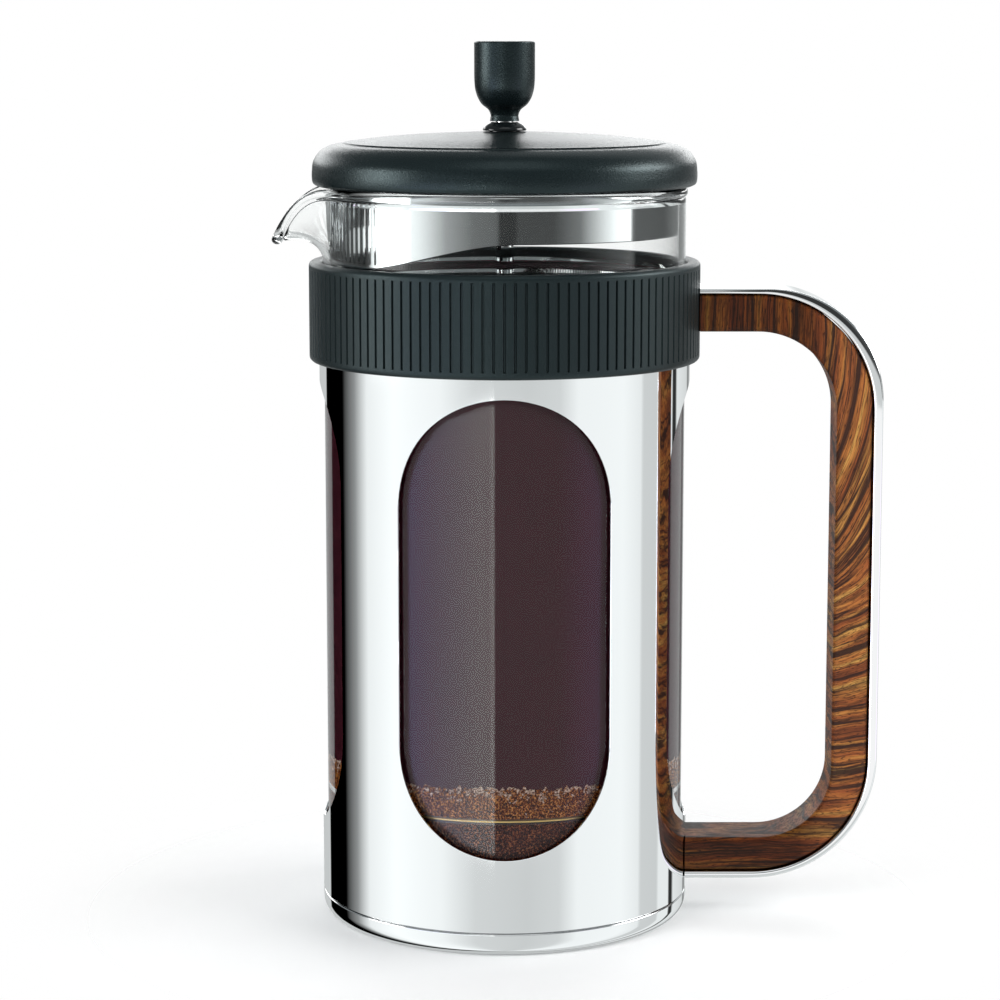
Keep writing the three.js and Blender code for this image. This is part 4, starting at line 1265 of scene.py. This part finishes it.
# brightness of the studio's walls by degrees round from the front: what the sleeve sees looking down a
# little, and what the lid and its skirt see looking nearly level
lowWalls = [
    (-180, 0.56), (-146, 0.62), (-145, 0.0), (-119, 0.0), (-117, 0.06), (-106, 0.30), (-94, 0.95),
    (-72, 1.12), (-40, 1.0), (-18, 0.72), (14, 0.66), (34, 0.72), (46, 0.98), (78, 1.02), (93, 0.90),
    (95, 0.68), (112, 0.66), (114, 0.90), (127, 0.90), (128, 0.03), (133, 0.03), (134, 0.85),
    (156, 0.70), (158, 0.25), (164, 0.25), (166, 0.62), (180, 0.56)]
highWalls = [
    (-180, 0.85), (-174, 0.25), (-150, 0.12), (-98, 0.03), (-96, 0.9), (-76, 1.5), (-56, 1.0),
    (-38, 0.38), (-20, 0.17), (-4.5, 0.13), (-3.5, 0.04), (7, 0.04), (8, 0.07), (32, 0.07), (50, 0.20),
    (60, 0.55), (76, 1.2), (89, 1.6), (90.5, 0.12), (125, 0.10), (160, 0.30), (168, 0.85), (180, 0.85)]
# softboxes: degrees round, degrees up, brightness
softboxes = [
    ((-92, -66), (-3, 16), 6.5), ((76, 112), (9, 30), 8.0), ((-30, 40), (40, 75), 0.8),
    ((150, 180), (5, 16), 3.6), ((-180, -135), (5, 20), 3.0), ((112, 180), (10, 60), 0.30)]
# a tall round-ended panel in front, in mm on the sleeve: its middle and half height, its half width
panel = {"middle": 89.6, "rise": 32.4, "half": 28.6, "soft": 0.45}
panelGlow = [
    (-66, (1.9, 2.0, 3.2)), (-50, (2.6, 2.7, 3.5)), (-14, (4.4, 4.5, 4.5)), (-9, (3.9, 4.0, 4.0)),
    (-8.5, (5.6, 5.6, 5.5)), (-6.6, (6.0, 6.0, 5.8)), (-6.2, (1.0, 1.0, 1.0)),
    (34, (1.0, 1.0, 1.0)), (66, (1.6, 1.25, 1.8))]


def panelShare(tree, turn, z):
    # 1 where a level ray from the front that the sleeve sends this way would fall inside the panel's outline
    eye, away = studio["camera"][2] / mm, -studio["camera"][1] / mm
    turnHalf = calc(tree, "MULTIPLY", turn, 0.5)
    reach = calc(tree, "MULTIPLY_ADD", calc(tree, "COSINE", turnHalf), -frameRadius, away)
    height = calc(tree, "MULTIPLY_ADD", calc(tree, "TANGENT", calc(tree, "ARCSINE", z)), reach, eye)
    fromMiddle = calc(tree, "ABSOLUTE", calc(tree, "SUBTRACT", height, panel["middle"]))
    beyond = calc(tree, "MAXIMUM", calc(tree, "SUBTRACT", fromMiddle, panel["rise"]), 0.0)
    aside = calc(tree, "MULTIPLY", turnHalf, frameRadius)
    squares = calc(tree, "ADD", calc(tree, "MULTIPLY", aside, aside), calc(tree, "MULTIPLY", beyond, beyond))
    low, high = panel["half"] - panel["soft"], panel["half"] + panel["soft"]
    return spread(tree, calc(tree, "SQRT", squares), low, high, 1.0, 0.0)


def setWorld():
    world = bpy.data.worlds.new("studio")
    world.use_nodes = True
    bpy.context.scene.world = world
    tree = world.node_tree
    tree.nodes.clear()
    where = put(tree, "ShaderNodeTexCoord").outputs["Generated"]
    x, y, z = put(tree, "ShaderNodeSeparateXYZ", {0: where}).outputs
    turn = calc(tree, "ARCTAN2", x, calc(tree, "MULTIPLY", y, -1.0))
    share = calc(tree, "MULTIPLY_ADD", turn, 1 / (2 * math.pi), 0.5)
    degrees = calc(tree, "MULTIPLY", turn, 180 / math.pi)
    rise = calc(tree, "MULTIPLY", calc(tree, "ARCSINE", z), 180 / math.pi)
    unit = 1.3  # all brightness below is held as a share of this

    def walls(cards):
        return ramp(tree, share, [
            (a / 360 + 0.5, (v * 0.965 / unit, v / unit, v / unit)) for a, v in cards])

    isHigh = spread(tree, rise, -6.2, -5.8, 0.0, 1.0)
    upright = blended(tree, isHigh, walls(lowWalls), walls(highWalls))
    glow = blended(tree, spread(tree, rise, 0.0, 7.0, 0.0, 1.0), upright, (0.16, 0.175, 0.18))
    boxes = 0.0
    for (left, right), (low, high), power in softboxes:
        across, upward = band(tree, degrees, left, right, 4.0), band(tree, rise, low, high, 4.0)
        boxes = calc(tree, "MULTIPLY_ADD", calc(tree, "MULTIPLY", across, upward), power / unit, boxes)
    lit = blended(tree, 1.0, glow, boxes, "ADD")
    brightest = 6.0
    stops = [(a / 360 + 0.5, tuple(v / brightest for v in colour)) for a, colour in panelGlow]
    scaled = blended(tree, 1.0, ramp(tree, share, stops), (brightest / unit,) * 3, "MULTIPLY")
    lit = blended(tree, panelShare(tree, turn, z), lit, scaled)
    # plain white straight behind the piece and through its glass; the studio in everything it mirrors
    path = put(tree, "ShaderNodeLightPath").outputs
    bounced = calc(tree, "ADD", path["Glossy Depth"], path["Diffuse Depth"])
    through = calc(tree, "MULTIPLY", path["Is Transmission Ray"], calc(tree, "LESS_THAN", bounced, 0.5))
    seen = calc(tree, "MAXIMUM", path["Is Camera Ray"], through)
    around = put(tree, "ShaderNodeBackground", {"Color": lit, "Strength": unit * studio["world"]})
    plain = put(tree, "ShaderNodeBackground", {"Color": (1, 1, 1, 1), "Strength": 1.0})
    mixed = put(tree, "ShaderNodeMixShader", {0: seen, 1: around.outputs[0], 2: plain.outputs[0]})
    put(tree, "ShaderNodeOutputWorld", {"Surface": mixed.outputs[0]})


def addLight(name, where, size, power, target=(0, 0, 0.12)):
    lamp = bpy.data.lights.new(name, "AREA")
    lamp.energy = power
    lamp.shape = "RECTANGLE"
    lamp.size, lamp.size_y = size
    light = bpy.data.objects.new(name, lamp)
    light.location = where
    light.rotation_euler = (Vector(target) - Vector(where)).to_track_quat("-Z", "Y").to_euler()
    # off in reflections, and behind glass, where lamps would only speckle
    light.visible_glossy = False
    light.visible_transmission = False
    bpy.context.scene.collection.objects.link(light)


def setLights():
    addLight("keyLight", (-0.7, -0.9, 1.0), (0.7, 0.9), studio["keyPower"])
    addLight("fillLight", (0.9, -0.5, 0.8), (0.6, 0.8), studio["fillPower"])
    addLight("backLight", (0.1, 0.9, 0.9), (1.0, 0.5), studio["fillPower"])


setCamera()
setFloor()
setWorld()
setLights()
print("studio set")
buildBase()
buildSleeve()
print("sleeve rolled")
buildCollar()
buildHandle()
buildScrew("upperScrew", "upper_screw")
buildScrew("lowerScrew", "lower_screw")
print("frame made")
buildBeaker()
buildGrounds()
buildCoffee()
print("beaker filled")
buildLid()
buildLiner()
buildGuide()
buildNut("guideNut", "guide_nut", stemHole, "guide")
print("lid made")
buildKnob()
buildRod()
buildSpiralPlate()
buildRimSpring()
buildMesh()
buildCrossPlate()
buildNut("plateNut", "plate_nut", rodHole, "plunger")
print("plunger made")

# the brackets stay as they are, in brushed steel
for node in ("upper_bracket", "lower_bracket"):
    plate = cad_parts[node]
    plate.data.materials.clear()
    plate.data.materials.append(finishes["brushed"])

bpy.context.scene.view_settings.view_transform = "Standard"
